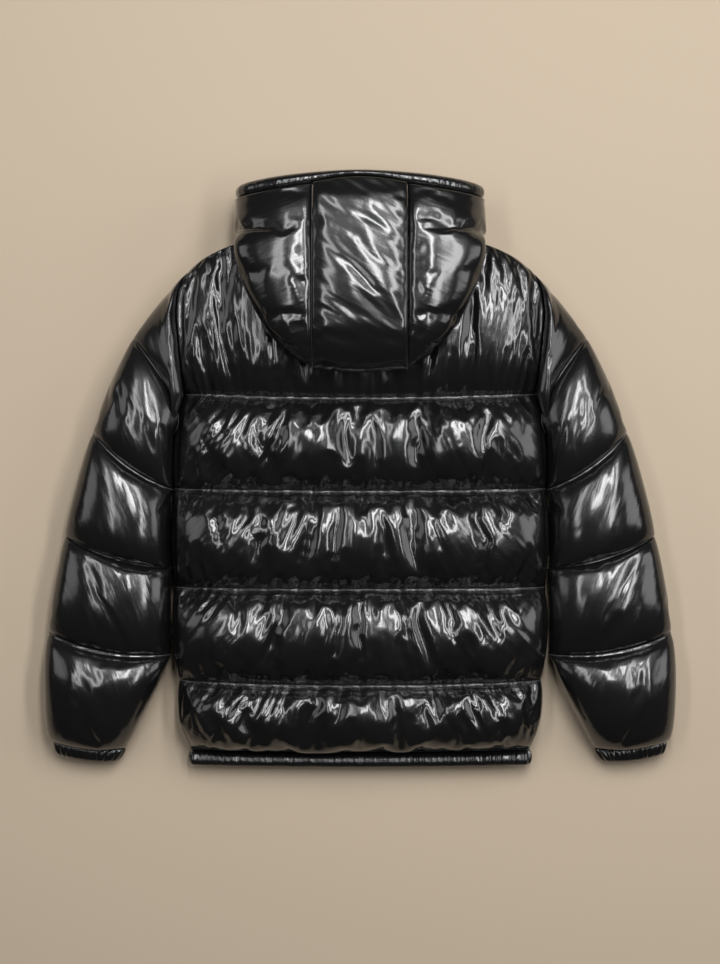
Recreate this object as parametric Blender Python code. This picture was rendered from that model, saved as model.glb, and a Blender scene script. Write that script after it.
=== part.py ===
"""Hooded puffer jacket lying on its front, back up, sleeves at its sides.

Frame: metres, +Z up, the jacket rests on z = 0. +Y runs from hem to hood, +X to the wearer's right.
The tables hold millimetres: heights are measured upwards (+Y) from the hem's lower edge.
"""

import functools
import math

import bmesh
import bpy

MM = 0.001

# ---- driving sizes, millimetres ----
LENGTH = 771.0          # hem edge to hood rim
SEAM_GAP = 0.3          # clearance between pieces that are sewn together
HEM_HEIGHT = 21.0       # elastic hem band, along Y
HEM_LOW = 13.0          # underside of the hem band's lower layer
LAYER = 8.0             # thickness of one layer of the hem band and of a stitched edge
FRONT_TOP = 39.0        # upper face of the fronts, where the back panel lies on them
FRONT_SEAM = 5.0        # how far a quilting seam lifts the fronts off the surface
ZIP_EDGE = 8.0          # the fronts end this far from the middle
ZIP_LEVEL = 17.0        # middle of the zip tapes above the surface
COLLAR_OUTER = 135.5    # half width of the hood's front ends
CENTER_HALF = 60.0      # half width of the hood's centre panel
HOOD_UNDER = 80.0       # underside of the hood where it lies on the yoke
HOOD_WALL = 21.0        # padding of the hood
HOOD_GAP = 0.4          # the side panels start this far outside the centre seams
LEAST_REACH = 1.5       # least width of a side panel's hollow
LEAST_HOLLOW = 3.0      # half its least height
LIMB_ROUND = 0.8        # roundness of the side panels' section
CENTER_CROWN = 3.0      # the centre panel's middle stands this much higher than its seams
CENTER_CROWN_ROWS = 5
NECK_HEIGHT = 675.0     # back neck seam
YOKE_TOP = 78.5         # crest of the yoke, just under the hood
UNDERARM = 432.0        # height of the underarm point
ARMHOLE_EASE = 3.6      # sleeve head eased round the armhole's upper bend
ARMHOLE_EASE_REACH = 20.0
ARMHOLE_GAP = 1.0       # the sleeve head stands this far off the armhole
UNDERARM_HALF = 242.0   # half width of the body at the underarm
ARMHOLE_WALL = 26.0     # padding of the back at the armhole above the fronts
ARMHOLE_TUCK = 18.0     # the back's lining rises this much towards the armhole
EDGE_WALL = 4.0         # least padding of the back at its edges
FRONT_EDGE = 5.0        # padding of the fronts at the side seam
FRONT_ARMHOLE = 30.0    # and at the armhole
FRONT_TUCK = 14.0       # the fronts' lining falls this much towards the armhole
ZIP_FACE_UNDER = 3.5    # the fronts' and collars' stitched edge below the zip's level
ZIP_FACE_TOP = 4.0      # and the fronts' above it
COLLAR_FACE_TOP = 3.0
COLLAR_TOP = 33.0       # crest of the collars' inner face
COLLAR_UNDER = 1.0      # underside of their outer face
COLLAR_GAP = 0.6        # the collars start this far above the neck seam
COLLAR_HOOD_GAP = 0.8
COLLAR_DROP = 3.0       # the collars end this far below the rim's seam
SEAM_ROUND = 0.8        # the hem band's long edges are this much thinner on each face
BODY_ROUND = 0.62       # share of the half width where a baffle starts to fall to the side
BODY_ROUND_POWER = 2.2
HEM_FOLD = 7.0          # the hem band starts to fold this far inside its side end
HEM_FOLD_STEP = 6.0
HEM_FOLD_SIDE = 1.2
HEM_FOLD_RISE = 1.4
HEM_STEPS = 6

# Quilting seams of the body: height at the middle, rise at the sides, half width, crest of the baffle above it
BODY_SEAMS = (
    # height, side_rise, half_width, seam_top, crest, belly
    (21.0, 3.0, 221.5, 30.0, 84.0, 236.5),
    (110.0, 6.0, 235.0, 58.0, 93.0, 244.0),
    (235.0, 2.0, 240.5, 60.0, 95.0, 245.5),
    (362.0, 3.0, 241.5, 60.0, 92.0, 241.5),
    (482.0, 6.0, 227.0, 58.0, YOKE_TOP, 236.0),
)
# Rise of a baffle between two seams: share of the way, share of the crest's height
PUFF = ((0.0, 0.0), (0.12, 0.62), (0.3, 0.95), (0.55, 1.0), (0.8, 0.86), (0.93, 0.5))
# Armhole edge of the back and fronts above seam 1: height at the edge, half width
ARMHOLE = ((488.0, 227.0), (520.0, 231.0), (560.0, 236.0), (610.0, 239.0), (648.0, 222.0))
# Shoulder and neck line of the back: half width, height
SHOULDER_LINE = ((0.0, 675.0), (100.0, 683.0), (163.0, 681.0), (200.0, 664.0), (222.0, 648.0))
FRONT_NECK = 606.0      # front neck seam at the zip
FRONT_NECK_HALF = 105.0
YOKE_STEPS = (0.0, 0.12, 0.3, 0.55, 0.8, 0.93, 1.0)

# Sleeve sections from the armhole to the cuff. Seams are low, baffles are high.
SLEEVE = (
    # outer_x, outer_h, knee_x, knee_h, inner_x, inner_h, thickness, floor
    (273.0, 596.0, 250.0, 520.0, 242.5, 441.0, 86.0, 0.0),
    (295.0, 561.0, 242.5, 479.0, 243.5, 437.0, 62.0, 6.0),
    (325.0, 500.0, 283.0, 447.0, 245.5, 400.0, 90.0, 0.0),
    (348.0, 438.0, 299.0, 393.0, 245.5, 364.0, 60.0, 6.0),
    (371.0, 364.0, 309.0, 326.0, 248.5, 303.0, 90.0, 0.0),
    (383.0, 304.0, 318.0, 275.0, 245.5, 262.0, 58.0, 6.0),
    (396.0, 246.0, 322.0, 216.0, 247.5, 208.0, 84.0, 0.0),
    (407.0, 178.0, 333.0, 154.0, 248.5, 149.0, 54.0, 6.0),
    (411.0, 91.0, 343.0, 78.0, 278.0, 82.0, 76.0, 0.0),
    (407.0, 52.0, 350.0, 39.0, 298.0, 43.0, 56.0, 2.0),
    (402.0, 38.0, 355.0, 26.5, 307.0, 25.0, 32.0, 4.0),
)
CUFF = (
    (401.5, 36.5, 355.0, 25.5, 307.5, 24.0, 30.0, 4.0),
    (402.5, 27.0, 356.0, 16.5, 311.0, 15.0, 31.0, 3.0),
    (398.0, 15.0, 357.0, 6.0, 320.0, 6.0, 28.0, 4.0),
)
RING_POINTS = 20
SLEEVE_EDGE = 0.16      # share of a sleeve's width taken by the padding at its edges
SLOT_HALF = 1.0         # half the space between a sleeve's two walls
SLOT_SHARE = 0.46       # share of the thickness at which the slot lies
ARMHOLE_SECTION = (74.0, 4.0, 2.6, 1.3)     # thickness, floor, roundness and flatness underneath
SLEEVE_ROUND = 2.5      # roundness of a section: 2 is an ellipse, higher is squarer
SLEEVE_FLAT = 1.35      # how much flatter it is underneath

# Hood outline: height at the outline, half width, seam_top, underside, inner end of the lower limb
HOOD_ROWS = (
    # height, half_width, top, under, limb_end
    (752.0, 161.0, 134.0, 12.0, COLLAR_OUTER + 0.5),
    (722.0, 161.0, 144.0, 12.0, COLLAR_OUTER + 0.5),
    (690.5, 160.5, 151.0, 12.0, COLLAR_OUTER + 0.5),
    (687.0, 160.0, 152.0, HOOD_UNDER, CENTER_HALF + HOOD_GAP),
    (634.0, 151.5, 156.0, HOOD_UNDER, CENTER_HALF + HOOD_GAP),
    (589.0, 131.0, 153.0, HOOD_UNDER, CENTER_HALF + HOOD_GAP),
    (548.0, 102.0, 144.0, HOOD_UNDER + 1.0, CENTER_HALF + HOOD_GAP),
    (522.0, 68.0, 126.0, HOOD_UNDER + 10.0, CENTER_HALF + HOOD_GAP),
)
# Lengthwise path of the centre panel: outer height and level, inner height and level
CENTER_PATH = (
    # outer_h, outer_z, inner_h, inner_z
    (761.0, 138.0, 761.0, 117.0),
    (722.0, 148.0, 722.0, 127.0),
    (680.0, 157.0, 680.0, 136.0),
    (620.0, 160.0, 620.0, 138.0),
    (562.0, 153.0, 572.0, 133.0),
    (525.0, 134.0, 547.0, 121.0),
    (511.5, 110.0, 539.0, 112.0),
    (519.0, 92.0, 545.0, 104.0),
    (545.0, 81.5, 560.0, 99.0),
    (600.0, HOOD_UNDER, 600.0, 98.0),
    (NECK_HEIGHT - 1.0, HOOD_UNDER, NECK_HEIGHT - 1.0, 98.0),
)
BAG_END = 511.5         # lowest point of the dropped hood
BAG_END_ROUND = 9.0     # its corners at the centre seams lie this much higher
BAG_END_REACH = 60.0    # rounding fades out this far up the hood
RIM_TOP = 771.0         # rim's upper edge in the middle
RIM_CORNER = 754.0      # and at its corners
RIM_SEAM_CORNER = 737.0
RIM_CROWN = 3.0         # the rim's middle stands this much higher over the centre panel
RIM_PINCH = ((0.0, 0.25), (0.5, 0.0), (1.0, 0.3))   # share of its height, share its faces close together
COLLAR_PUFF = ((0.0, 0.35), (0.12, 0.85), (0.5, 1.0), (0.88, 0.85), (1.0, 0.35))

# Zip
TAPE_INNER = 3.5
TAPE_THICK = 1.2
CHAIN_HALF = 3.2
CHAIN_THICK = 3.4
ZIP_BOTTOM = 3.0
ZIP_TOP = 738.0
SLIDER_LOW = 706.0      # lower end of the slider, which is run up to the top of the closed zip
SLIDER_LENGTH = 11.0
SLIDER_PLATE_HALF = 4.6
SLIDER_PLATE = 1.5
BRIDGE_HALF = 1.5
BRIDGE_BAR = 1.2
BRIDGE_LENGTH = 7.0
BRIDGE_DROP = 4.6
BRIDGE_SINK = 0.2       # the bridge reaches this far into the plate
BRIDGE_ROOF = 0.4       # metal left between the plate and the bridge's window
PIN_RADIUS = 0.7
PIN_CLEARANCE = 0.35
PULL_LENGTH = 27.0
PULL_HALF = 4.2
PULL_ARM = 1.6
PULL_THICK = 1.5
PULL_EYE = 6.5          # end of the eye's straight sides, from the pin
PULL_EYE_TIP = 1.5
PULL_NECK = 3.0         # the tab widens over this length
PULL_CORNER = 2.0
FLOOR_CLEARANCE = 0.15

SHELL_BLACK = (0.012, 0.012, 0.013)
TAPE_BLACK = (0.015, 0.015, 0.016)
METAL_GREY = (0.23, 0.23, 0.24)


def world(x, height, z):
    """Table millimetres to metres in the part's frame."""
    return (x * MM, (height - LENGTH / 2) * MM, z * MM)


def mix(a, b, t):
    return a + (b - a) * t


def table(rows, key, value=1):
    """Read a value from a table of rows by straight lines between its keys."""
    ordered = sorted(rows)
    if key <= ordered[0][0]:
        return ordered[0][value]
    for low, high in zip(ordered, ordered[1:]):
        if key <= high[0]:
            return mix(low[value], high[value], (key - low[0]) / (high[0] - low[0]))
    return ordered[-1][value]


def material(name, colour, roughness, metallic=0.0):
    made = bpy.data.materials.new(name)
    made.use_nodes = True
    shader = made.node_tree.nodes["Principled BSDF"]
    shader.inputs["Base Color"].default_value = (*colour, 1.0)
    shader.inputs["Roughness"].default_value = roughness
    shader.inputs["Metallic"].default_value = metallic
    return made


def add_object(name, mesh_data, finish, pivot=(0.0, 0.0, 0.0), parent=None):
    """Close the normals outward and put the mesh in the scene with its origin at the pivot."""
    bmesh.ops.translate(mesh_data, verts=mesh_data.verts, vec=[-c for c in pivot])
    bmesh.ops.recalc_face_normals(mesh_data, faces=mesh_data.faces)
    mesh = bpy.data.meshes.new(name)
    mesh_data.to_mesh(mesh)
    mesh_data.free()
    mesh.shade_smooth()
    mesh.set_sharp_from_angle(angle=math.radians(50))
    mesh.materials.append(finish)
    item = bpy.data.objects.new(name, mesh)
    bpy.context.collection.objects.link(item)
    if parent:
        item.parent = parent
        item.location = (0.0, 0.0, 0.0)
    else:
        item.location = pivot
    return item


def wall(name, outer, inner, finish, tube=False):
    """A closed padded wall between two grids of points. A tube's rows are closed rings."""
    shape = bmesh.new()
    sheets = [[[shape.verts.new(p) for p in row] for row in grid] for grid in (outer, inner)]
    rows, columns = len(outer), len(outer[0])
    steps = columns if tube else columns - 1
    for sheet in sheets:
        for r in range(rows - 1):
            for c in range(steps):
                n = (c + 1) % columns
                shape.faces.new((sheet[r][c], sheet[r][n], sheet[r + 1][n], sheet[r + 1][c]))
    for r in (0, rows - 1):
        for c in range(steps):
            n = (c + 1) % columns
            shape.faces.new((sheets[0][r][c], sheets[0][r][n], sheets[1][r][n], sheets[1][r][c]))
    if not tube:
        for c in (0, columns - 1):
            for r in range(rows - 1):
                shape.faces.new((sheets[0][r][c], sheets[0][r + 1][c], sheets[1][r + 1][c], sheets[1][r][c]))
    return add_object(name, shape, finish)


def box(low, high):
    """A plain box as mesh data, from two corners in table millimetres."""
    shape = bmesh.new()
    near = [[shape.verts.new(world(x, h, z)) for x, h in
             ((low[0], low[1]), (high[0], low[1]), (high[0], high[1]), (low[0], high[1]))]
            for z in (low[2], high[2])]
    shape.faces.new(near[0])
    shape.faces.new(near[1])
    for i in range(4):
        n = (i + 1) % 4
        shape.faces.new((near[0][i], near[0][n], near[1][n], near[1][i]))
    return shape


# ---- body: back panel, fronts, hem band ----

def side_share(u):
    """How much of a baffle's height is left at share u of the half width."""
    if u <= BODY_ROUND:
        return 1.0
    return max(0.0, 1.0 - ((u - BODY_ROUND) / (1.0 - BODY_ROUND)) ** BODY_ROUND_POWER) ** 0.5


def body_rows():
    """Rows of the body from hem to shoulder: a height function's values, half width and crest share."""
    rows = []
    for index, seam in enumerate(BODY_SEAMS[:-1]):
        above = BODY_SEAMS[index + 1]
        for share, rise in PUFF:
            edge = mix(seam[2], above[2], share)
            belly = edge + (seam[5] - max(seam[2], above[2])) * math.sin(math.pi * share)
            seam_top = mix(seam[3], above[3], share)
            rows.append({
                "middle": mix(seam[0], above[0], share),
                "side": mix(seam[0] + seam[1], above[0] + above[1], share),
                "half": belly,
                "top": mix(seam_top, seam[4], rise),
                "lift": FRONT_SEAM * (1.0 - min(1.0, rise / 0.6)),
                "hem": 1.0 - share if index == 0 else 0.0,
                "armhole": 0.0,
            })
    return rows


def yoke_rows(neck_line):
    """Rows of the yoke: each runs from the armhole edge to the middle of the neck."""
    first = BODY_SEAMS[-1]
    rows = []
    for step in YOKE_STEPS:
        edge = mix(ARMHOLE[0][0], ARMHOLE[-1][0], step)
        rise = {0.0: 0.0, 0.12: 0.7, 1.0: 0.25}.get(step, 1.0)
        rows.append({
            "step": step,
            "edge": edge,
            "half": table(ARMHOLE, edge),
            "top": mix(first[3], YOKE_TOP, rise),
            "lift": FRONT_SEAM * (1.0 - min(1.0, rise / 0.6)),
            "hem": 0.0,
            "armhole": 1.0,
            "neck": neck_line,
        })
    return rows


def back_neck(x, half):
    return table(SHOULDER_LINE, x * SHOULDER_LINE[-1][0] / half)


def front_neck(x, half):
    reach = x / FRONT_NECK_HALF
    if reach >= 1.0:
        return back_neck(x, half)
    return mix(FRONT_NECK, back_neck(FRONT_NECK_HALF, half), reach ** 1.6)


def row_height(row, x):
    """Height of a body row at distance x from the middle."""
    share = (x / row["half"]) ** 2
    if "step" not in row:
        return mix(row["middle"], row["side"], share)
    first = BODY_SEAMS[-1]
    low = mix(first[0], first[0] + first[1], share)
    return mix(low, row["neck"](x, row["half"]), row["step"])


def edge_level(row):
    """Level where the back and fronts meet at the row's side edge."""
    return mix(FRONT_TOP, HEM_LOW + LAYER, row["hem"] ** 2)


BACK_COLUMNS = (0.0, 0.25, 0.5, 0.66, 0.78, 0.88, 0.95, 1.0)
FRONT_COLUMNS = (0.0, 0.05, 0.13, 0.24, 0.35, 0.47, 0.6, 0.78, 0.88, 0.95, 1.0)
COLLAR_COLUMNS = 6      # the collar's lower edge follows this many of the fronts' columns


def build_back(finish):
    columns = [-u for u in reversed(BACK_COLUMNS[1:])] + list(BACK_COLUMNS)
    top, under = [], []
    for row in body_rows() + yoke_rows(back_neck):
        upper, lower = [], []
        meet = edge_level(row) + SEAM_GAP
        for u in columns:
            x = abs(u) * row["half"]
            height = row_height(row, x)
            share = side_share(abs(u))
            armhole_level = meet + ARMHOLE_WALL * row["armhole"]
            edge = min(armhole_level + EDGE_WALL, row["top"] - 1.0)
            level = mix(edge, row["top"], share)
            bottom = meet + ARMHOLE_TUCK * row["armhole"] * (1.0 - share)
            upper.append(world(u * row["half"], height, level))
            lower.append(world(u * row["half"], height, min(bottom, level - 3.0)))
        top.append(upper)
        under.append(lower)
    return wall("back_panel", top, under, finish)


def zip_share(u):
    """How far a front has closed down to its stitched edge near the zip."""
    reach = FRONT_COLUMNS[2]
    return 1.0 - min(1.0, u / reach) ** 0.6


def build_front(name, sign, finish):
    top, under = [], []
    for row in body_rows() + yoke_rows(front_neck):
        upper, lower = [], []
        meet = edge_level(row)
        for u in FRONT_COLUMNS:
            x = mix(ZIP_EDGE, row["half"], u)
            height = row_height(row, x)
            share = side_share(u)
            edge_under = mix(meet - FRONT_EDGE, meet - FRONT_ARMHOLE, row["armhole"])
            bottom = mix(edge_under, row["lift"], share)
            bottom = mix(bottom, max(bottom, HEM_LOW), row["hem"] ** 3)
            bottom = mix(bottom, ZIP_LEVEL - ZIP_FACE_UNDER, zip_share(u))
            level = mix(meet, meet - FRONT_TUCK, row["armhole"] * (1.0 - share))
            level = mix(level, ZIP_LEVEL + ZIP_FACE_TOP, zip_share(u))
            upper.append(world(sign * x, height, level))
            lower.append(world(sign * x, height, bottom))
        top.append(upper)
        under.append(lower)
    return wall(name, top, under, finish)


def build_hem(finish):
    """One elastic strip: right front, round the side, across the back, left front."""
    half = BODY_SEAMS[0][2]
    lower_z = HEM_LOW + LAYER / 2
    upper_z = HEM_LOW + LAYER * 1.5 + SEAM_GAP
    flat = [half * s / HEM_STEPS - HEM_FOLD_STEP for s in range(1, HEM_STEPS)]
    turn_x = half - HEM_FOLD
    side_x = half - HEM_FOLD_SIDE
    fronts = [(ZIP_EDGE, lower_z)] + [(x, lower_z) for x in flat] + [(turn_x, lower_z)]
    fold = [(side_x, lower_z + HEM_FOLD_RISE), (half, (lower_z + upper_z) / 2), (side_x, upper_z - HEM_FOLD_RISE)]
    back = [(turn_x, upper_z)] + [(x, upper_z) for x in reversed(flat)] + [(0.0, upper_z)]
    right = fronts + fold + back
    path = right + [(-x, z) for x, z in reversed(right[:-1])]
    outer, inner = [], []
    for height_share in (0.0, 0.5, 1.0):
        ring_out, ring_in = [], []
        for index, (x, z) in enumerate(path):
            before = path[max(0, index - 1)]
            after = path[min(len(path) - 1, index + 1)]
            run = math.hypot(after[0] - before[0], after[1] - before[1])
            normal = ((after[1] - before[1]) / run, -(after[0] - before[0]) / run)
            rise = BODY_SEAMS[0][1] * (x / half) ** 2
            height = rise + (HEM_HEIGHT - SEAM_GAP) * height_share
            thick = LAYER / 2 - (0.0 if height_share == 0.5 else SEAM_ROUND)
            ring_out.append(world(x + normal[0] * thick, height, z + normal[1] * thick))
            reach = min(thick, (upper_z - lower_z) / 2 - SEAM_GAP)
            ring_in.append(world(x - normal[0] * reach, height, z - normal[1] * reach))
        outer.append(ring_out)
        inner.append(ring_in)
    return wall("hem_band", outer, inner, finish)


# ---- sleeves and cuffs ----

def bend(a, knee, b, t):
    """A point on the curve from a to b that passes the knee half way."""
    control = [2 * k - (p + q) / 2 for p, k, q in zip(a, knee, b)]
    return [(1 - t) ** 2 * p + 2 * t * (1 - t) * c + t * t * q for p, c, q in zip(a, control, b)]


def armhole_point(t):
    """A point of the armhole edge, from the underarm (0) to the shoulder point (1)."""
    height = mix(UNDERARM, ARMHOLE[-1][0], t)
    if height < ARMHOLE[0][0]:
        x = mix(UNDERARM_HALF, ARMHOLE[0][1], (height - UNDERARM) / (ARMHOLE[0][0] - UNDERARM))
    else:
        x = table(ARMHOLE, height)
    ease = ARMHOLE_EASE * math.exp(-((height - ARMHOLE[3][0]) / ARMHOLE_EASE_REACH) ** 2)
    return x + ARMHOLE_GAP + ease, height


def section(plan, thickness, floor, power, flatten):
    """Outer and inner ring over a plan curve (0 inner end, 1 outer end).

    The inner ring is a thin slot, because the two walls of a sleeve laid flat lie on each other.
    """
    outer, inner = [], []
    middle = floor + thickness * SLOT_SHARE
    for index in range(RING_POINTS):
        angle = 2 * math.pi * (index + 0.5) / RING_POINTS
        c, s = math.cos(angle), math.sin(angle)
        across = 0.5 + 0.5 * math.copysign(abs(c) ** (2 / power), c)
        rise = abs(s) ** (2 / power)
        z = mix(middle, floor + thickness, rise) if s > 0 else mix(middle, floor, min(1.0, rise * flatten))
        outer.append((*plan(across), z))
        inside = mix(0.5, across, 1.0 - SLEEVE_EDGE)
        inner.append((*plan(inside), middle + math.copysign(SLOT_HALF, s)))
    return outer, inner


def sleeve_rings(rows, with_armhole):
    pairs = []
    if with_armhole:
        pairs.append(section(armhole_point, *ARMHOLE_SECTION))
    for ox, oh, kx, kh, ix, ih, thickness, floor in rows:
        plan = functools.partial(bend, (ix, ih), (kx, kh), (ox, oh))
        pairs.append(section(plan, thickness, floor, SLEEVE_ROUND, SLEEVE_FLAT))
    return [outer for outer, _ in pairs], [inner for _, inner in pairs]


def build_tube(name, sign, rows, with_armhole, finish):
    outer, inner = sleeve_rings(rows, with_armhole)
    grids = [[[world(sign * x, h, z) for x, h, z in ring] for ring in grid] for grid in (outer, inner)]
    return wall(name, grids[0], grids[1], finish, tube=True)


# ---- hood ----

def limb(row, angle, inset):
    """A point of a side panel's section: 90 degrees at the centre seam, 0 at the side, -90 underneath."""
    height, half, top, under, limb_end = row
    seam = CENTER_HALF + HOOD_GAP
    middle = mix(under, top, 0.5)
    c, s = math.cos(angle), math.sin(angle)
    start = seam if s >= 0 else limb_end
    reach_out = max(start + LEAST_REACH, half - inset)
    wall_thick = min(inset, (top - under) / 2 - LEAST_HOLLOW)
    low = under + wall_thick
    high = top - wall_thick
    across = max(0.0, c) ** LIMB_ROUND
    rise = abs(s) ** LIMB_ROUND
    x = mix(start, reach_out, across)
    if abs(s) == 1.0:
        x = start
    z = mix(middle, high, rise) if s > 0 else mix(middle, low, rise)
    drop = mix(0.0, RIM_SEAM_CORNER - HOOD_ROWS[0][0], min(1.0, max(0.0, (x - seam) / (half - seam))))
    keep = max(0.0, min(1.0, (height - HOOD_ROWS[3][0]) / (HOOD_ROWS[0][0] - HOOD_ROWS[3][0])))
    return x, height + drop * keep, z


LIMB_ANGLES = [math.radians(a) for a in (90, 74, 56, 38, 20, 0, -20, -38, -56, -74, -90)]


def build_hood_side(name, sign, finish):
    grids = []
    for inset in (0.0, HOOD_WALL):
        grid = []
        for row in HOOD_ROWS:
            points = [limb(row, angle, inset) for angle in LIMB_ANGLES]
            grid.append([world(sign * x, h, z) for x, h, z in points])
        grids.append(grid)
    return wall(name, grids[0], grids[1], finish)


def rim_seam_height(x):
    """Height of the seam between the centre panel and the rim."""
    return mix(CENTER_PATH[0][0], HOOD_ROWS[0][0], (x / CENTER_HALF) ** 2)


CENTER_COLUMNS = (-1.0, -0.75, -0.35, 0.0, 0.35, 0.75, 1.0)


def build_hood_center(finish):
    columns = CENTER_COLUMNS
    outer, inner = [], []
    for row, (oh, oz, ih, iz) in enumerate(CENTER_PATH):
        crown = CENTER_CROWN if row < CENTER_CROWN_ROWS else 0.0
        lift = [crown * (1.0 - u * u) for u in columns]
        if row == 0:
            drop = [rim_seam_height(u * CENTER_HALF) - CENTER_PATH[0][0] for u in columns]
        else:
            near_end = max(0.0, 1.0 - (oh - BAG_END) / BAG_END_REACH)
            drop = [BAG_END_ROUND * near_end * u * u for u in columns]
        outer.append([world(u * CENTER_HALF, oh + d, oz - crown + rise)
                      for u, rise, d in zip(columns, lift, drop)])
        inner.append([world(u * CENTER_HALF, ih + d, iz) for u, d in zip(columns, drop)])
    return wall("hood_center", outer, inner, finish)


def build_rim(finish):
    """The bound edge of the opening, from one front end over the top to the other."""
    row = HOOD_ROWS[0]
    grids = []
    for inset in (0.0, HOOD_WALL):
        path = [limb(row, angle, inset) for angle in reversed(LIMB_ANGLES)]
        for u in CENTER_COLUMNS[:4]:
            crown = RIM_CROWN * (1.0 - u * u)
            path.append((-u * CENTER_HALF, rim_seam_height(u * CENTER_HALF), row[2] - inset + crown))
        grids.append([(-x, h, z) for x, h, z in path] + list(reversed(path[:-1])))
    outer, inner = [], []
    for share, pinch in RIM_PINCH:
        rows = [[], []]
        for point, mate in zip(*grids):
            for target, (x, h, z), (ox, oh, oz) in ((rows[0], point, mate), (rows[1], mate, point)):
                across = mix(x, ox, pinch)
                seam = mix(h, oh, pinch) + 2 * SEAM_GAP
                top_edge = mix(RIM_TOP, RIM_CORNER, min(1.0, abs(across) / row[1]) ** 1.5)
                target.append(world(across, mix(seam, top_edge, share), mix(z, oz, pinch)))
        outer.append(rows[0])
        inner.append(rows[1])
    return wall("hood_rim", outer, inner, finish)


def build_collar(name, sign, finish):
    half = ARMHOLE[-1][1]
    places = [mix(ZIP_EDGE, half, u) for u in FRONT_COLUMNS[:COLLAR_COLUMNS]] + [COLLAR_OUTER]
    top, under = [], []
    for share, puff in COLLAR_PUFF:
        upper, lower = [], []
        for x in places:
            u = (x - ZIP_EDGE) / (COLLAR_OUTER - ZIP_EDGE)
            at_neck = x < FRONT_NECK_HALF
            low = front_neck(x, half) + COLLAR_GAP if at_neck else HOOD_ROWS[2][0] + COLLAR_HOOD_GAP
            high = mix(ZIP_TOP, RIM_SEAM_CORNER - COLLAR_DROP, u)
            height = mix(low, high, share)
            edge = min(1.0, u / 0.1, (1.0 - u) / 0.1 + 0.6)
            swell = puff * mix(0.3, 1.0, edge)
            upper.append(world(sign * x, height, mix(ZIP_LEVEL + COLLAR_FACE_TOP, COLLAR_TOP, swell)))
            lower.append(world(sign * x, height, mix(ZIP_LEVEL - ZIP_FACE_UNDER, COLLAR_UNDER, swell)))
        top.append(upper)
        under.append(lower)
    return wall(name, top, under, finish)


# ---- zip ----

def build_zip(tape_finish, metal):
    half_tape = TAPE_THICK / 2
    for name, sign in (("zip_tape_left", -1), ("zip_tape_right", 1)):
        sides = sorted((sign * TAPE_INNER, sign * (ZIP_EDGE - SEAM_GAP)))
        plate = box((sides[0], ZIP_BOTTOM, ZIP_LEVEL - half_tape), (sides[1], ZIP_TOP, ZIP_LEVEL + half_tape))
        add_object(name, plate, tape_finish)
    half_chain = CHAIN_THICK / 2
    chain = box((-CHAIN_HALF, ZIP_BOTTOM, ZIP_LEVEL - half_chain),
                (CHAIN_HALF, SLIDER_LOW - SEAM_GAP, ZIP_LEVEL + half_chain))
    add_object("zip_chain", chain, metal)
    build_slider(metal)


def ladder(name, half_x, profile, window, metal):
    """A bar along X whose outline in Y and Z has a window through it."""
    shape = bmesh.new()
    rings = []
    for x in (-half_x, half_x):
        rings.append([[shape.verts.new(world(x, h, z)) for h, z in outline] for outline in (profile, window)])
    for i in range(4):
        n = (i + 1) % 4
        for which in (0, 1):
            shape.faces.new((rings[0][which][i], rings[0][which][n], rings[1][which][n], rings[1][which][i]))
        for side in (0, 1):
            shape.faces.new((rings[side][0][i], rings[side][0][n], rings[side][1][n], rings[side][1][i]))
    return add_object(name, shape, metal)


def build_slider(metal):
    """Slider body with two plates round the tapes, and the bridge that carries the pull."""
    gap = TAPE_THICK / 2 + SEAM_GAP
    low, high = SLIDER_LOW, SLIDER_LOW + SLIDER_LENGTH
    outline = ((-SLIDER_PLATE_HALF, -gap - SLIDER_PLATE), (SLIDER_PLATE_HALF, -gap - SLIDER_PLATE),
               (SLIDER_PLATE_HALF, -gap), (CHAIN_HALF, -gap), (CHAIN_HALF, gap), (SLIDER_PLATE_HALF, gap),
               (SLIDER_PLATE_HALF, gap + SLIDER_PLATE), (-SLIDER_PLATE_HALF, gap + SLIDER_PLATE),
               (-SLIDER_PLATE_HALF, gap), (-CHAIN_HALF, gap), (-CHAIN_HALF, -gap), (-SLIDER_PLATE_HALF, -gap))
    body = bmesh.new()
    ends = [[body.verts.new(world(x, h, ZIP_LEVEL + z)) for x, z in outline] for h in (low, high)]
    body.faces.new(ends[0])
    body.faces.new(ends[1])
    for i in range(len(outline)):
        n = (i + 1) % len(outline)
        body.faces.new((ends[0][i], ends[0][n], ends[1][n], ends[1][i]))
    slider = add_object("zip_slider", body, metal)

    plate_under = ZIP_LEVEL - gap - SLIDER_PLATE
    middle = (low + high) / 2
    outer = bridge_outline(middle, plate_under + BRIDGE_SINK, BRIDGE_LENGTH / 2, BRIDGE_DROP + BRIDGE_SINK)
    inner = bridge_outline(middle, plate_under - BRIDGE_ROOF, BRIDGE_LENGTH / 2 - BRIDGE_BAR,
                           BRIDGE_DROP - BRIDGE_ROOF - BRIDGE_BAR)
    bridge = ladder("slider_bridge", BRIDGE_HALF, outer, inner, metal)
    bridge.hide_render = True
    bridge.display_type = "WIRE"
    join = slider.modifiers.new("bridge", "BOOLEAN")
    join.operation = "UNION"
    join.solver = "EXACT"
    join.object = bridge
    build_pull(middle, plate_under, metal)


def bridge_outline(middle, top, half, drop):
    return ((middle - half, top), (middle + half, top), (middle + half, top - drop), (middle - half, top - drop))


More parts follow.
